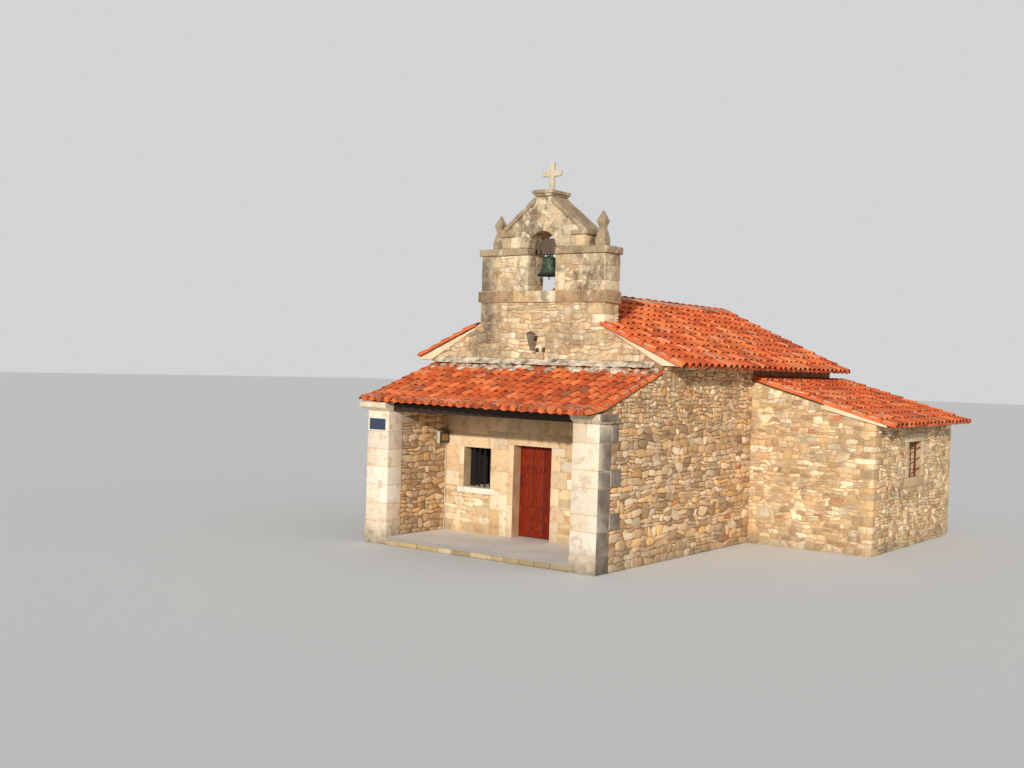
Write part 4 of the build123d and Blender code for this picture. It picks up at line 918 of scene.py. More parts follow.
def lay_roof(name, slope, span, count, cover, setback, exposure=0.355, skip=lambda across, along: False,
             eave=lambda across: 0.0, plugged=0, lift=0.044, disorder=1.0, tones=(0.0, 1.0), bed=0.055):
    """Columns of channels and covers on one slope, each laid from the eave up, in place of its solid.

    cover is how high the covers' backs stand over the slope, bed how high its mortar does. Rows follow one
    another by the exposure, and the lift tilts a cover over the next. The mouths of the lowest covers are
    plugged with mortar where plugged counts their rows. The channels are shallow enough to lie on the bed;
    at the eave each ends in a deeper mouth."""
    tiles, plugs = Heap(seed_of(name)), Heap(seed_of(name) + 1)
    draw, chance = tiles.random.uniform, tiles.random.random
    first = span[0] + verge_width
    step = (span[1] - span[0] - 2 * verge_width) / (count - 1)
    base = cover - 0.08
    hollow = (base + 0.006 - bed) / channel_radius

    def column(across, lay_one):
        start = setback + eave(across)
        row = 0
        while start + row * exposure < slope.length - 0.1:
            along = start + row * exposure
            run = min(tile_length, slope.length - along)
            if not skip(across, along + 0.2):
                lay_one(slope.frame(across, along, run), run / tile_length, row)
            row += 1

    def cover_tile(spot, share, row):
        sway = draw(-0.009, 0.009) * disorder
        back = draw(0, 0.035 * disorder) if row else draw(0, 0.012)
        tone = (draw(*tones), draw(0.3, 1), chance())
        lay_piece(tiles, cover_corners, cover_faces, spot, (sway, back, base + draw(-0.006, 0.001)),
                  draw(-0.032, 0.032) * disorder, -lift * min(1, share),
                  (draw(0.93, 1.02), share, draw(0.88, 0.93)), False, tone, cover_unshaded_share)
        if row < plugged and chance() < 0.85:
            lay_piece(plugs, cover_corners, cover_faces, spot, (sway, back + draw(0.006, 0.02), base + 0.003), 0, -lift,
                      (1.03, draw(0.04, 0.07), 0.955))
        if row < plugged:
            lay_piece(plugs, plug_corners, plug_faces, spot, (sway, back + 0.05, base - 0.002), 0, 0, (0.99, 1, 0.9))
            lay_piece(tiles, plug_corners, plug_faces, spot, (sway, back + 0.042, base - 0.009), 0, 0, (0.91, 1, 0.81))
        if row == 0:
            lay_piece(tiles, channel_corners, channel_faces, spot, (sway, back + 0.012, base - 0.008),
                      draw(-0.02, 0.02), 0, (0.94, 0.5, 0.72), True)

    def channel_tile(spot, share, row):
        # Channels take the darker end of the clay's shade share: dirt, and painted shade between the covers.
        tone = (draw(*tones), draw(0, 0.35), chance())
        sway, back, turn = draw(-0.006, 0.006), draw(0.03, 0.06), draw(-0.02, 0.02)
        mouth = [(0.0, (1, 0.4, 0.74))] if row == 0 else []
        for further, scale in mouth + [(0.12 if row == 0 else 0.0, (1, share, hollow))]:
            lay_piece(tiles, channel_corners, channel_faces, spot, (sway, back + further, base + 0.012), turn, -0.02,
                      scale, True, tone)

    def verge_tile(spot, share, row):
        lay_piece(tiles, cover_corners, cover_faces, spot, (draw(-0.003, 0.003), draw(0, 0.02), base - 0.045),
                  draw(-0.012, 0.012), -0.03, (0.92, share, 0.92), False, (draw(0.3, 0.8), draw(0.6, 1), 0.0),
                  cover_unshaded_share)

    for number in range(count):
        column(first + number * step, cover_tile)
    for number in range(count - 1):
        column(first + (number + 0.5) * step, channel_tile)
    for limit, inward in zip(span, (1, -1)):
        column(limit + inward * 0.084, verge_tile)
        middle = limit + inward * 0.1
        for row in range(math.floor((slope.length - 0.1) / exposure)):
            along = setback + eave(middle) + row * exposure + draw(0.03, 0.09)
            if not skip(middle, along + 0.2):
                lay_piece(plugs, block_corners, block_faces, slope.frame(middle, along, 0.3),
                          (-inward * 0.035, 0.15, base + 0.014), draw(-0.04, 0.04), 0, (0.007, draw(0.06, 0.16), 0.02))
    tiles.build(f"{name}_tiles", clay_tile, "roof_tile", replaces=[name], smooth=50)
    plugs.build(f"{name}_pointing", roof_mortar, "cement", smooth=50)


def seed_of(name):
    """A seed for the random shifts that stays the same for the same roof."""
    return sum((i + 1) * ord(letter) for i, letter in enumerate(name))


def lay_bed(name, slope, span, board=0.022, bed=0.055, eave=lambda across: 0.0):
    """Boards and mortar bed under the tiles, as two slabs that follow the slope from behind the eave."""
    ends = [sum(slope.lengths[: i + 1]) for i in range(len(slope.lengths))]
    for layer, low, high, material, slot in (("boards", 0.0, board, softwood_aged_and_shaded, "roof_timber"),
                                             ("bedding", board, bed, roof_mortar, "cement")):
        heap = Heap(7)
        for number, end in enumerate(ends):
            corners = []
            for along in ((ends[number - 1] if number else None), end):
                for across in span:
                    reached = 0.2 + eave(across) if along is None else along
                    exact = Vector(slope.place(across, *slope.at(reached)))
                    corners += [exact + Vector((0, 0, low)), exact + Vector((0, 0, high))]
            heap.lay(corners, [(0, 2, 3, 1), (4, 5, 7, 6), (0, 1, 5, 4), (2, 6, 7, 3), (1, 3, 7, 5), (0, 4, 6, 2)])
        heap.build(f"{name}_{layer}", material, slot)
        face_outwards()


# The clay runs from brown-red to orange, tile by tile, with a few grey tiles, scorched patches and a pale
# bloom. Inside the covers it is painted dark, as shade.
clay = Finish("clay_tile", 0.82)
clay_red = clay.tones(clay.tint("Red"), (0.0, (190, 78, 36)), (0.3, (222, 98, 44)), (0.62, (238, 114, 54)),
                      (0.88, (248, 138, 74)), (1.0, (230, 148, 104)))
clay_red = clay.shades(clay_red, clay.tint("Green"), 0.62, 1.08)
clay_red = clay.mix(clay.ramp(clay.tint("Blue"), [(0.965, 0.0), (0.98, 0.6)]), clay_red, srgb(132, 104, 84))
clay_red = clay.laid_over(clay_red, clay.noise(6, 9, 0.7), 0.5, 0.68, 0.7, (134, 62, 38))
clay_red = clay.laid_over(clay_red, clay.noise(13, 10, 0.75), 0.6, 0.74, 0.55, (206, 160, 128))
# Corners with no unshaded share, inside the covers, take the painted shade.
clay_red = clay.mix(clay.tint("Alpha"), srgb(46, 26, 18), clay_red)
clay.bump(clay.noise(60, 8, 0.7), 0.3, 0.003)
clay_tile = clay.colour(clay_red)


def trowelled(name, scale, tones, pits, depth):
    """Cement in tones of its own, with fine pits."""
    cement = Finish(name, 0.95)
    cement.bump(cement.noise(pits, 8), 0.7, depth)
    return cement.colour(cement.tones(cement.noise(scale, 9), *tones))


roof_mortar = trowelled("roof_mortar", 8, ((0.3, (166, 144, 120)), (0.55, (204, 180, 152)), (0.75, (230, 210, 184))),
                        50, 0.008)

# The porch roof's slope flattens towards its eave, which runs out of square. The nave's two slopes stop
# short of the bell gable's base, and the sacristy's leans against the nave.
porch_head = porch_high.z - 0.165
porch_slope = Slope([(0, bend - 0.064), (0.64, bend), (porch_high.y - porch_low.y, porch_head)],
                    lambda across, inwards, height: (across, porch_low.y + inwards, height))


def porch_eave(across):
    """The porch eaves come further forward on the right."""
    return 0.445 * (porch_high.x - across) / (porch_high.x - porch_low.x)


lay_roof("porch_roof", porch_slope, (porch_low.x, porch_high.x), 26, 0.157, 0.02, 0.345, eave=porch_eave, plugged=2,
         lift=0.02, disorder=1.1, tones=(0.2, 0.9))
lay_bed("porch_roof", porch_slope, (porch_low.x + 0.05, porch_high.x - 0.05), eave=porch_eave)
nave_low, nave_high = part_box("nave_roof_right")
for side, label, eaves in ((1, "right", 3.69), (-1, "left", 3.5)):
    nave_slope = Slope([(0, nave_under(eaves)), (eaves, nave_under(0))],
                       lambda across, inwards, height, side=side, eaves=eaves:
                       (side * (eaves - inwards), across, height))
    lay_roof(f"nave_roof_{label}", nave_slope, (nave_low.y, nave_high.y), 32, 0.11, 0.052,
             skip=lambda across, along, eaves=eaves: across < -3.94 and along * 0.915 > eaves - base_side - 0.1,
             disorder=1.5, bed=0.014)
    lay_bed(f"nave_roof_{label}", nave_slope, (gable_back, nave_high.y - 0.03), 0.01, 0.014)
    front_strip = Slope([(0, nave_under(eaves)), (eaves - base_side, nave_under(base_side))], nave_slope.place)
    lay_bed(f"nave_verge_{label}", front_strip, (nave_low.y + 0.03, gable_back), 0.01, 0.014)

sacristy_low, sacristy_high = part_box("sacristy_roof")
sacristy_slope = Slope([(0, sacristy_under(sacristy_high.x)), (sacristy_high.x - nave_side, sacristy_under(nave_side))],
                       lambda across, inwards, height: (sacristy_high.x - inwards, across, height))
lay_roof("sacristy_roof", sacristy_slope, (sacristy_low.y, sacristy_high.y), 20, 0.159, 0.05, lift=0.034, disorder=1.9)
lay_bed("sacristy_roof", sacristy_slope, (sacristy_low.y + 0.05, sacristy_high.y - 0.05))

# Ridge: larger covers in line along the top, each lapping the next, bedded in mortar, which closes the
# gap between the row and the two slopes.
def lone_block(name, seed, low, high, arris, material, slot, body="building", replaces=()):
    """One squared piece by itself."""
    heap = Heap(seed)
    heap.block(low, high, arris)
    heap.build(name, material, slot, body, replaces)


ridge_low, ridge_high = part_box("ridge_tiles")
ridge = Heap(61)
draw = ridge.random.uniform
ridge_place = ridge_low.y
while ridge_place < ridge_high.y - 0.1:
    run = min(tile_length, ridge_high.y - ridge_place)
    spot = (Vector((0, ridge_place, ridge_high.z - 0.11)), Vector(to_right), Vector(to_rear), Vector((0, 0, 1)))
    lay_piece(ridge, cover_corners, cover_faces, spot, (draw(-0.006, 0.006), 0, draw(-0.004, 0.0)), draw(-0.02, 0.02),
              -0.02, (1.35, run / tile_length, 1.26))
    ridge_place += 0.37
ridge.build("ridge_tile_row", clay_tile, "roof_tile", replaces=["ridge_tiles"], smooth=50)
lone_block("ridge_mortar", 62, (-0.13, ridge_low.y, ridge_high.z - 0.15),
           (0.13, ridge_high.y - 0.02, ridge_high.z - 0.065), 0.02, roof_mortar, "cement")

# Where the porch roof meets the gable a fillet of grey cement is trowelled over the top tiles. It
# spreads down over some of them in patches, and fills the upper ends of the channels.
flashing_tones = ((0.36, (122, 108, 90)), (0.5, (202, 184, 156)), (0.64, (240, 222, 194)))
flashing_cement = trowelled("flashing_cement", 5, flashing_tones, 40, 0.01)
worn("flashing_fillet", "roof_flashing", flashing_cement, "cement", 0.025, 0.018)
bpy.ops.object.select_all(action="DESELECT")
bpy.ops.mesh.primitive_ico_sphere_add(subdivisions=2, radius=1)
lump_corners, lump_faces = pick_up(bpy.context.object)
smears = Heap(63)
draw = smears.random.uniform
top_along = porch_slope.length
for number in range(70):
    spot = porch_slope.frame(draw(porch_low.x + 0.08, porch_high.x - 0.08), top_along - abs(draw(-0.3, 0.3)) - 0.06,
                             0.05)
    lay_piece(smears, lump_corners, lump_faces, spot, (0, 0, draw(0.1, 0.13)), draw(-0.6, 0.6), 0,
              (draw(0.05, 0.14), draw(0.05, 0.16), draw(0.03, 0.045)))
channel_step = (porch_high.x - porch_low.x - 2 * verge_width) / 25
for number in range(25):
    length = draw(0.15, 0.5) * (2 if smears.random.random() < 0.3 else 1)
    across = porch_low.x + verge_width + (number + 0.5) * channel_step
    lay_piece(smears, block_corners, block_faces, porch_slope.frame(across, top_along - length, length),
              (0, length / 2, 0.075), draw(-0.02, 0.02), 0, (draw(0.03, 0.05), length / 2, 0.026))
smears.build("flashing_smears", flashing_cement, "cement", smooth=60)

# Raking bands of cream plaster lie under the nave's front verge, swept out to a point over the corners.
# They follow their solid, slightly uneven from the trowel.
plaster = Finish("cream_plaster", 0.9)
plaster_cream = plaster.tones(plaster.noise(3, 9), (0.3, (232, 202, 158)), (0.65, (246, 224, 186)))
plaster_cream = plaster.shades(plaster_cream, plaster.noise(40, 6), 0.92, 1.05)
plaster.bump(plaster.noise(30, 8), 0.4, 0.004)
cream_plaster = plaster.colour(plaster_cream)
worn("verge_band_plaster", "verge_bands", cream_plaster, "lime_plaster", 0.02, 0.004)


# Bell gable: weathered squared stones, cream and grey. The string course and both piers are stacked
# through blocks; the arch is of wedge stones and the attic above it of courses cut to the rake.
belfry_tones = [(238, 214, 172), (222, 196, 154), (246, 228, 192), (230, 200, 150), (208, 186, 152), (240, 220, 182)]
belfry_stone = masonry("belfry_ashlar", belfry_tones, (0.76, 1.06), lichen=0.14, relief=0.8, crust=0.9, sooty=-1.62)
string_low, string_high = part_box("string_course")
coat(lime_mortar, "belfry_piers", "string_course", "belfry_arch", "belfry_imposts")
string_tones = [(182, 148, 110), (204, 166, 122), (240, 204, 146), (246, 230, 196)]
string_stone = masonry("string_course_stone", string_tones, (0.86, 1.0), lichen=0.2, relief=0.8, crust=0.7, sooty=-1.7)
string_blocks = Heap(70)
cuts = [string_low.x - 0.004, -1.2, -0.72, -0.1, 0.42, 1.05, string_high.x + 0.004]
for start, end, tone in zip(cuts, cuts[1:], (0.0, 0.22, 0.68, 1.0, 0.3, 0.12)):
    string_blocks.block((start + 0.003, string_low.y - 0.01, string_low.z + 0.003),
                        (end - 0.003, string_high.y + 0.01, string_high.z - 0.002), 0.022, 0.004, (tone, 0.5, 0.5))
string_blocks.build("string_course_blocks", string_stone, "dressed_stone")
belfry_blocks = Heap(71)
belfry_rubble = Heap(72)
jamb, pier_foot, pier_head = 0.365, 5.662, 6.46
pier_span = base_side - jamb
for side, jamb_stones, corner_stones in (
    (-1, ((pier_foot, 5.8, 0.66), (5.8, 6.2, 0.7), (6.2, pier_head, 0.78)),
     ((pier_foot, 5.93, 1.22), (5.93, 6.19, 1.34), (6.19, pier_head, 1.14))),
    (1, ((pier_foot, 6.08, 0.62), (6.08, 6.24, 0.72), (6.24, pier_head, 0.8)),
     ((pier_foot, 5.88, 1.1), (5.88, 6.2, 1.2), (6.2, pier_head, 0.98))),
):
    gaps = []
    for edge, stones in ((jamb - 0.003, jamb_stones), (base_side + 0.012, corner_stones)):
        for low, high, cut in stones:
            left, right = sorted((side * edge, side * cut))
            belfry_blocks.block((left, nave_front - 0.012, low + 0.003), (right, gable_back + 0.012, high - 0.003),
                                0.018, 0.005)
            gaps.append((left, low, right, high))
    near = min(side * jamb, side * base_side)
    far = near + pier_span
    in_front = [(left - near, low, right - near, high) for left, low, right, high in gaps]
    behind = [(far - right, low, far - left, high) for left, low, right, high in gaps]
    for start, y, out, gaps_here in ((near, nave_front, -1, in_front), (far, gable_back, 1, behind)):
        lay_rubble(belfry_rubble, Wall((start, y), (-out, 0, 0), (0, out, 0)), pier_span, pier_foot, lambda u: 6.458,
                   gaps_here, (0.07, 0.13), (0.1, 0.26), (0.006, 0.012), 0.02)
belfry_rubble.build("belfry_pier_rubble", belfry_stone, "rubble_masonry")

# The arch: five wedge stones spring from the imposts. A long block with worn arrises is modelled once,
# cut across so that it can be bent, and each stone is a copy between two radii and two angles.
bpy.ops.object.select_all(action="DESELECT")
bpy.ops.mesh.primitive_cube_add(size=2)
bent_master = bpy.context.object
bent_mesh = bent_master.data
pick(bent_master, "EDGE",
     lambda edge: abs(bent_mesh.vertices[edge.vertices[0]].co.x - bent_mesh.vertices[edge.vertices[1]].co.x) > 1)
bpy.ops.mesh.subdivide(number_cuts=5)
bpy.ops.object.mode_set(mode="OBJECT")
finish_with(bent_master, "BEVEL", width=0.06, segments=2, limit_method="ANGLE")
bent_corners, bent_faces = pick_up(bent_master)
spring, ring = 6.62, 0.6
wedge_cuts = (-0.5, -0.27, -0.09, 0.07, 0.26, 0.5)
for start, end in zip(wedge_cuts, wedge_cuts[1:]):
    radii, depths = (jamb - 0.002, ring), (nave_front - 0.02, gable_back + 0.02)
    angles = (start * math.pi + 0.006, end * math.pi - 0.006)
    corners = []
    for shares in bent_corners:
        angle, depth, radius = (a + (b - a) * (share + 1) / 2 for share, (a, b) in zip(shares, (angles, depths, radii)))
        corners.append((radius * math.sin(angle), depth, spring + radius * math.cos(angle)))
    belfry_blocks.lay(corners, bent_faces)

# The attic above the arch is of squared courses, cut to the arch's ring on one side and to the raking
# coping on the other. Near the top a course is one stone.
def shaped_stone(heap, quad, depths, arris=0.014):
    """A block cut to four corners of its own in the gable's plane."""
    corners = []
    width = (math.dist(quad[0], quad[1]) + math.dist(quad[3], quad[2])) / 4
    height = (math.dist(quad[0], quad[3]) + math.dist(quad[1], quad[2])) / 4
    depth = (depths[1] - depths[0]) / 2
    for corner in block_corners:
        s, d, t = ((1 if c > 0 else -1) * (1 - min(arris, h * 0.45) * (1 - abs(c)) * 2 / h)
                   for c, h in zip(corner, (width, depth, height)))
        s, t = (s + 1) / 2, (t + 1) / 2
        x, z = ((quad[0][i] * (1 - s) + quad[1][i] * s) * (1 - t) + (quad[3][i] * (1 - s) + quad[2][i] * s) * t
                for i in (0, 1))
        corners.append((x, sum(depths) / 2 + d * depth, z))
    heap.lay(corners, block_faces)


def rake_at(z):
    """Half width of the attic under its raking coping."""
    return 1.11 if z <= 6.871 else max(0.21, 1.08 - (z - 6.93) * 1.207)


def ring_at(z):
    """Half width of the arch's outer ring at a height."""
    return math.sqrt(max(0.0, (ring + 0.004) ** 2 - (z - spring) ** 2))


for low, high, joint in ((spring, 6.872, 0.88), (6.872, 7.1, 0.76), (7.1, 7.34, None), (7.34, 7.56, None),
                         (7.56, 7.75, None)):
    inner_low, inner_high = ring_at(low), ring_at(high)
    outer_low, outer_high = (rake_at(low) if low > 6.63 else 1.11), rake_at(high)
    outer_low = min(outer_low, 1.02) if low > 6.8 else outer_low
    for side in (-1, 1):
        stops_low = [inner_low] + ([joint] if joint else []) + [outer_low]
        stops_high = [inner_high] + ([joint - 0.02] if joint else []) + [outer_high]
        if low > 7.3 and side < 0:
            continue
        if low > 7.3:
            stops_low[0], stops_high[0] = -outer_low, -outer_high
        elif high > 7.3:
            stops_low[0] -= 0.05
        for k in range(len(stops_low) - 1):
            quad = [(stops_low[k] + 0.003, low + 0.003), (stops_low[k + 1] - 0.003, low + 0.003),
                    (stops_high[k + 1] - 0.003, high - 0.003), (stops_high[k] + 0.003, high - 0.003)]
            if side < 0:
                quad = [(-x, z) for x, z in (quad[1], quad[0], quad[3], quad[2])]
            shaped_stone(belfry_blocks, quad, (nave_front - 0.01, gable_back + 0.01))
belfry_blocks.build("belfry_ashlar_blocks", belfry_stone, "dressed_stone")

# Imposts, copings, cap, cross and pinnacles are single dressed stones, greyed and pitted by the weather;
# the cross is paler. Each follows its own solid.
impost_stone = masonry("impost_stone", [(200, 174, 136), (178, 150, 114)], lichen=0.26, relief=0.8, crust=0.6)
cross_stone = masonry("cross_stone", [(244, 226, 192), (244, 226, 192)], lichen=0.04, relief=0.3)
for name, source, stone, grain, wear in (
    ("belfry_impost_slabs", "belfry_imposts", impost_stone, 0.022, 0.009),
    ("pediment_coping_stones", "pediment_copings", impost_stone, 0.022, 0.009),
    ("pediment_cap", "cap_slab", impost_stone, 0.018, 0.007),
    ("stone_cross", "cross", cross_stone, 0.011, 0.004),
    ("corner_pinnacles", "pinnacles", impost_stone, 0.014, 0.007),
):
    worn(name, source, stone, "dressed_stone", grain, wear)


# Bell: cast bronze with moulding rings, green with age and dark at the lip. It is turned from its
# profile, and hangs from a dark timber yoke on an iron axle between two bearings.
def turned(name, profile, centre, material, slot, body="building", steps=48, replaces=()):
    """A piece turned about an upright axis from a profile of radii and heights."""
    bpy.ops.object.select_all(action="DESELECT")
    mesh = bpy.data.meshes.new(name)
    points = [(centre[0] + radius, centre[1], height) for radius, height in profile]
    mesh.from_pydata(points, [(i, i + 1) for i in range(len(points) - 1)], [])
    piece = bpy.data.objects.new(name, mesh)
    bpy.context.scene.collection.objects.link(piece)
    piece.select_set(True)
    bpy.context.view_layer.objects.active = piece
    bpy.ops.object.mode_set(mode="EDIT")
    bpy.ops.mesh.select_all(action="SELECT")
    bpy.ops.mesh.spin(steps=steps, angle=math.tau, center=(centre[0], centre[1], 0), axis=(0, 0, 1))
    bpy.ops.mesh.select_all(action="SELECT")
    bpy.ops.mesh.remove_doubles(threshold=0.0002)
    bpy.ops.mesh.normals_make_consistent(inside=False)
    bpy.ops.object.mode_set(mode="OBJECT")
    dress(piece, material, body, replaces)


bronze = Finish("green_bronze", 0.6, 0.35)
patina = bronze.noise(14, 9, 0.7)
bronze_green = bronze.tones(patina, (0.3, (34, 44, 34)), (0.52, (58, 78, 56)), (0.72, (116, 134, 98)))
rim = bronze.span(bronze.along(), 6.03, 6.09, 1, 0)
bronze.bump(patina, 0.25, 0.003)
patina_bronze = bronze.colour(bronze.mix(rim, bronze_green, srgb(40, 44, 36)))
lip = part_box("bell")[0].z
crown = lip + 0.43
outer_profile = [
    (0.0, 0), (0.085, 0), (0.112, 0.006), (0.128, 0.018), (0.138, 0.036), (0.144, 0.05), (0.151, 0.054),
    (0.151, 0.064), (0.147, 0.068), (0.15, 0.09), (0.153, 0.12), (0.158, 0.16), (0.163, 0.19), (0.171, 0.235),
    (0.181, 0.275), (0.19, 0.3), (0.197, 0.305), (0.199, 0.316), (0.199, 0.326), (0.208, 0.345), (0.228, 0.372),
    (0.25, 0.393), (0.272, 0.41), (0.279, 0.417), (0.277, 0.427), (0.268, 0.43),
]
inner_profile = [
    (0.256, 0), (0.24, 0.02), (0.2, 0.062), (0.176, 0.1), (0.158, 0.17), (0.142, 0.24), (0.129, 0.32), (0.122, 0.36),
    (0.1, 0.388), (0.0, 0.391),
]
bell_profile = [(radius, crown - down) for radius, down in outer_profile]
bell_profile += [(radius, lip + up) for radius, up in inner_profile]
bell_centre = (0.0, -4.21)
turned("bronze_bell", bell_profile, bell_centre, patina_bronze, "bell_bronze", "bell", replaces=["bell"])
canons = Heap(81)
for x, radius in ((0, 0.034), (-0.068, 0.017), (0.068, 0.017)):
    bpy.ops.object.select_all(action="DESELECT")
    bpy.ops.mesh.primitive_cylinder_add(vertices=20, radius=radius, depth=0.06, location=(x, -4.21, crown + 0.024))
    bpy.ops.object.transform_apply(location=True)
    canons.lay(*pick_up(bpy.context.object), tint=(0.5, 0.5, 0.5))
canons.build("bell_canons", patina_bronze, "bell_bronze", "bell")

oak = grained("dark_oak", (11, 9, 0.7, (1, 5, 5)), ((0.3, (58, 46, 36)), (0.7, (118, 100, 80))), 0.75,
              relief=(0.5, 0.004))
edged("yoke_block", "bell_yoke", oak, 0.008, "bell")
forged_iron = grained("forged_iron", (30, 8, 0.7), ((0.4, (34, 32, 30)), (0.62, (58, 50, 44)), (0.72, (110, 66, 42))),
                      0.65, 0.5, (0.4, 0.002))
coat(forged_iron, "bell_bearings", "clapper_staple", "clapper", "hinge_pins", "door_straps", "door_handle")

# Two iron straps are bolted round the yoke's shoulders, with a square nut in front and behind on each.
# They swing with the bell.
straps = Heap(82)
for x in (-0.2, 0.2):
    straps.block((x - 0.018, -4.275, 6.486), (x + 0.018, -4.145, 6.6), 0.003)
    for y in (-4.278, -4.142):
        straps.block((x - 0.011, y - 0.006, 6.53), (x + 0.011, y + 0.006, 6.552), 0.004)
straps.build("yoke_straps", forged_iron, "wrought_iron", "bell")


# Door: three upright boards with small gaps, and two ledges let into their front. The stain is
# a warm red-brown, darker in the grain.
door_stain = Finish("stained_boards", 0.7)
door_stain.shader.inputs["Specular IOR Level"].default_value = 0.25
board_grain = door_stain.noise(7, 9, 0.65, (9, 9, 0.8))
board_red = door_stain.tones(board_grain, (0.3, (60, 12, 0)), (0.48, (114, 26, 0)), (0.7, (166, 58, 8)))
board_red = door_stain.shades(board_red, door_stain.tint("Green"), 0.85, 1.12)
door_stain.bump(board_grain, 0.3, 0.002)
stained_boards = door_stain.colour(board_red)
leaf_low, leaf_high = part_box("door_leaf")
boards = Heap(91)
seams = [leaf_low.x, -0.06, 0.24, leaf_high.x]
for start, end in zip(seams, seams[1:]):
    boards.block((start + (0.007 if start > leaf_low.x else 0.0), leaf_low.y, leaf_low.z),
                 (end - (0.007 if end < leaf_high.x else 0.0), leaf_high.y, leaf_high.z), 0.008)
for height in (0.86, 1.62):
    boards.block((leaf_low.x + 0.03, leaf_low.y - 0.004, height),
                 (leaf_high.x - 0.03, leaf_low.y + 0.02, height + 0.018), 0.003)
boards.build("door_boards", stained_boards, "door_wood", "door", ["door_leaf"])
lone_block("door_backing", 92, (leaf_low.x + 0.01, leaf_low.y + 0.012, leaf_low.z + 0.005),
           (leaf_high.x - 0.01, leaf_high.y - 0.004, leaf_high.z - 0.005), 0.002, oak, "door_wood", "door")


# Window bars: four upright square bars of forged iron let into the front window's sill and lintel. The
# sacristy window has two rusty upright bars and three cross bars with hooked ends.
def rod(heap, start, end, radius, sides=10):
    """A round bar between two points, closed at both ends."""
    start, end = Vector(start), Vector(end)
    bpy.ops.object.select_all(action="DESELECT")
    bpy.ops.mesh.primitive_cylinder_add(vertices=sides, radius=radius, depth=(end - start).length)
    corners, faces = pick_up(bpy.context.object)
    turn = (end - start).to_track_quat("Z", "Y")
    heap.lay([turn @ corner + (start + end) / 2 for corner in corners], faces)


grille = Heap(93)
for x in (-1.616, -1.462, -1.308, -1.154):
    grille.block((x - 0.014, -4.656, 1.2), (x + 0.014, -4.628, 2.13), 0.002)
grille.build("front_window_bars", forged_iron, "wrought_iron")
rusty_iron = grained("rusty_iron", (40, 8, 0.7), ((0.35, (92, 44, 30)), (0.6, (132, 62, 40)), (0.75, (70, 52, 44))),
                     0.8, 0.2, (0.4, 0.002))
side_grille = Heap(94)
bar_x = 6.03
for y in (2.4, 2.77):
    rod(side_grille, (bar_x, y, 1.62), (bar_x, y, 2.48), 0.013)
for z in (1.8, 2.05, 2.3):
    rod(side_grille, (bar_x, 2.1, z), (bar_x, 3.07, z), 0.009)
    for y in (2.24, 2.58, 2.94):
        rod(side_grille, (bar_x, y, z), (bar_x + 0.045, y, z + 0.05), 0.007, 8)
side_grille.build("sacristy_window_bars", rusty_iron, "wrought_iron")

# Wall lamp: a glass lantern under a sheet cap, on a bent tube. A small control box, a socket and a thin
# cable are fixed to the wall beside it.
lamp_paint = grained("lamp_paint", (40, 6), ((0.35, (74, 60, 48)), (0.7, (112, 92, 72))), 0.6, 0.2, (0.2, 0.001))
smoked = grained("smoked_lantern", (12, 6), ((0.3, (96, 84, 70)), (0.7, (150, 136, 116))), 0.25)
lamp_low, lamp_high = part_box("wall_lamp")
lamp_x, lamp_y, lamp_top = -0.045, lamp_low.y + 0.11, lamp_high.z
foot = lamp_top - 0.33
shade_profile = [(0.0, foot + 0.004), (0.036, foot + 0.004), (0.04, foot + 0.02), (0.1, lamp_top - 0.05),
                 (0.1, lamp_top - 0.04), (0.0, lamp_top - 0.03)]
cap_profile = [(0.0, lamp_top), (0.03, lamp_top - 0.002), (0.105, lamp_top - 0.036), (0.109, lamp_top - 0.046),
               (0.1, lamp_top - 0.052), (0.0, lamp_top - 0.04)]
turned("lantern_shade", shade_profile, (lamp_x, lamp_y), smoked, "lamp_metal", steps=12, replaces=["wall_lamp"])
turned("lantern_cap", cap_profile, (lamp_x, lamp_y), lamp_paint, "lamp_metal", steps=12)
lamp_parts = Heap(95)
for number in range(6):
    angle = math.tau * number / 6
    rod(lamp_parts, (lamp_x + 0.04 * math.cos(angle), lamp_y + 0.04 * math.sin(angle), foot + 0.02),
        (lamp_x + 0.102 * math.cos(angle), lamp_y + 0.102 * math.sin(angle), lamp_top - 0.05), 0.004, 6)
arm_z = foot - 0.07
for start, end in (((-4.505, arm_z), (lamp_y + 0.02, arm_z)), ((lamp_y + 0.025, arm_z), (lamp_y, arm_z + 0.02)),
                   ((lamp_y, arm_z + 0.015), (lamp_y, foot + 0.008))):
    rod(lamp_parts, (lamp_x, *start), (lamp_x, *end), 0.013)
for left, right, front, low, high, arris in ((-0.05, 0.05, -4.522, -0.05, 0.05, 0.006),
                                             (-0.1, -0.02, -4.57, 0.2, 0.3, 0.006),
                                             (0.15, 0.21, -4.56, -0.04, 0.06, 0.008)):
    lamp_parts.block((lamp_x + left, front, arm_z + low), (lamp_x + right, nave_front, arm_z + high), arris)
rod(lamp_parts, (lamp_x + 0.18, -4.525, arm_z - 0.03), (lamp_x + 0.185, -4.53, 4.12), 0.005, 6)
lamp_parts.build("lamp_arm_and_boxes", lamp_paint, "lamp_metal")

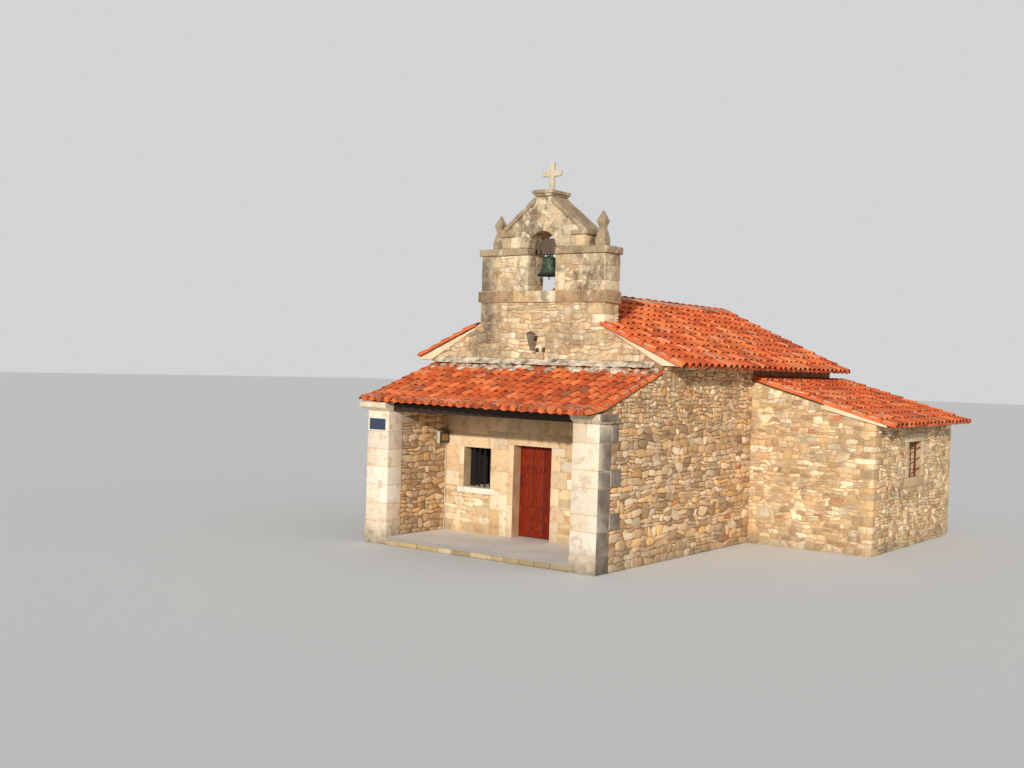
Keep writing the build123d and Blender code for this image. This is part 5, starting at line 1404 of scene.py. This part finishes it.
# Meter box in the porch corner: a dark plastic case with a pale rim and an amber window, and a pale
# conduit clipped to the wall down to the slab.
dark_case = grained("case_plastic", (25, 6), ((0.3, (56, 46, 34)), (0.7, (82, 68, 50))), 0.55, relief=(0.15, 0.001))
pale_case = grained("pale_plastic", (18, 6), ((0.3, (186, 172, 146)), (0.7, (220, 208, 184))), 0.6,
                    relief=(0.15, 0.001))
amber_pane = grained("amber_window", (20, 6), ((0.3, (120, 92, 34)), (0.7, (172, 134, 58))), 0.3)
meter_low, meter_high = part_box("meter_box")
meter_side, near_y, far_y, meter_top = meter_high.x, meter_low.y, meter_high.y, meter_high.z
box_low = meter_top - 0.28
for name, seed, low, high, arris, material, stands_for in (
    ("meter_case_rim", 96, (porch_left, near_y, box_low), (meter_side - 0.022, far_y, meter_top), 0.01, pale_case,
     ["meter_box"]),
    ("meter_case_lid", 97, (meter_side - 0.03, near_y + 0.012, box_low + 0.012),
     (meter_side - 0.006, far_y - 0.012, meter_top - 0.012), 0.01, dark_case, []),
    ("meter_window", 98, (meter_side - 0.012, near_y + 0.07, box_low + 0.07),
     (meter_side - 0.002, far_y - 0.07, meter_top - 0.06), 0.004, amber_pane, []),
):
    lone_block(name, seed, low, high, arris, material, "box_plastic", replaces=stands_for)
conduit = Heap(99)
rod(conduit, (-2.286, facade_y - 0.028, slab_top), (-2.286, facade_y - 0.028, box_low + 0.01), 0.014, 14)
for z in (0.5, 1.1, 1.7):
    conduit.block((porch_left, facade_y - 0.05, z), (-2.27, facade_y - 0.006, z + 0.02), 0.003)
conduit.build("meter_conduit", pale_case, "box_plastic")

# A small enamelled plate, slate blue with a white border, is fixed to the front of the left pier. It is
# left blank.
white_enamel = grained("white_enamel", (30, 6), ((0.3, (206, 206, 200)), (0.7, (232, 232, 226))), 0.35)
slate_blue = grained("slate_blue_enamel", (20, 6), ((0.3, (44, 54, 72)), (0.7, (60, 72, 92))), 0.35)
lone_block("pier_plate_rim", 101, (-2.87, -6.838, 2.48), (-2.37, -6.826, 2.76), 0.003, white_enamel, "lamp_metal")
lone_block("pier_plate_face", 102, (-2.852, -6.841, 2.498), (-2.388, -6.83, 2.742), 0.002, slate_blue, "lamp_metal")

# A band of pale mortar closes the lower part of the sacristy's near verge, between the wall's head and
# the tiles. It is thicker towards the nave.
verge_mortar = Heap(103)
start_x, end_x = 4.9, 6.35
low_a, low_b = sacristy_under(start_x), sacristy_under(end_x)
quad = [(start_x, low_a - 0.1), (end_x, low_b - 0.03), (end_x, low_b + 0.02), (start_x, low_a + 0.02)]
shaped_stone(verge_mortar, quad, (-0.262, -0.17), 0.01)
verge_mortar.build("sacristy_verge_band", cream_plaster, "lime_plaster")


# The studio: a pale floor, a plain pale surround, a soft key from the front left and a soft fill. The
# camera, gloss and glass see the surround brighter than it lights the chapel.
bpy.ops.object.select_all(action="DESELECT")
bpy.ops.mesh.primitive_plane_add(size=400, location=(0, 0, -0.002))
ground = bpy.context.object
ground.name = "studio_floor"
floor_paint = Finish("studio_floor_paint", 0.95)
ground.data.materials.append(floor_paint.colour(srgb(226, 226, 223)))

world = bpy.data.worlds.new("studio")
bpy.context.scene.world = world
world.use_nodes = True
surround = world.node_tree.nodes["Background"]
surround.inputs["Color"].default_value = srgb(240, 241, 243)
rays = world.node_tree.nodes.new("ShaderNodeLightPath")
seen = rays.outputs["Is Camera Ray"]
for kind in ("Is Glossy Ray", "Is Transmission Ray"):
    either = world.node_tree.nodes.new("ShaderNodeMath")
    either.operation = "MAXIMUM"
    world.node_tree.links.new(seen, either.inputs[0])
    world.node_tree.links.new(rays.outputs[kind], either.inputs[1])
    seen = either.outputs[0]
strength = world.node_tree.nodes.new("ShaderNodeMapRange")
strength.inputs["To Min"].default_value = 0.38
strength.inputs["To Max"].default_value = 0.75
world.node_tree.links.new(seen, strength.inputs["Value"])
world.node_tree.links.new(strength.outputs["Result"], surround.inputs["Strength"])

for name, direction, energy, softness in (("key", (0.36, -0.88, 0.27), 2.85, 1.6),
                                          ("fill", (0.75, 0.1, 0.65), 0.3, 60)):
    lamp = bpy.data.lights.new(name, "SUN")
    lamp.energy = energy
    lamp.angle = math.radians(softness)
    light = bpy.data.objects.new(name, lamp)
    light.rotation_euler = Vector(direction).to_track_quat("Z", "Y").to_euler()
    bpy.context.scene.collection.objects.link(light)

# The camera stands where the photograph was taken, to the front right of the chapel and some four
# metres above its foot, and is turned slightly.
yaw, climb, roll = math.radians(-36.377), math.radians(-0.806), math.radians(1.761)
ahead = Vector((math.sin(yaw) * math.cos(climb), math.cos(yaw) * math.cos(climb), math.sin(climb)))
right = Vector((math.cos(yaw), -math.sin(yaw), 0))
above = right.cross(ahead)
across = right * math.cos(roll) + above * math.sin(roll)
upward = -right * math.sin(roll) + above * math.cos(roll)
camera = bpy.data.objects.new("camera", bpy.data.cameras.new("camera"))
stand = (15.488, -26.508, 3.958)
camera.matrix_world = Matrix([[across[i], upward[i], -ahead[i], stand[i]] for i in range(3)] + [[0, 0, 0, 1]])
camera.data.lens = 42.7
camera.data.clip_end = 500
bpy.context.scene.collection.objects.link(camera)
bpy.context.scene.camera = camera
bpy.context.scene.view_settings.view_transform = "Standard"
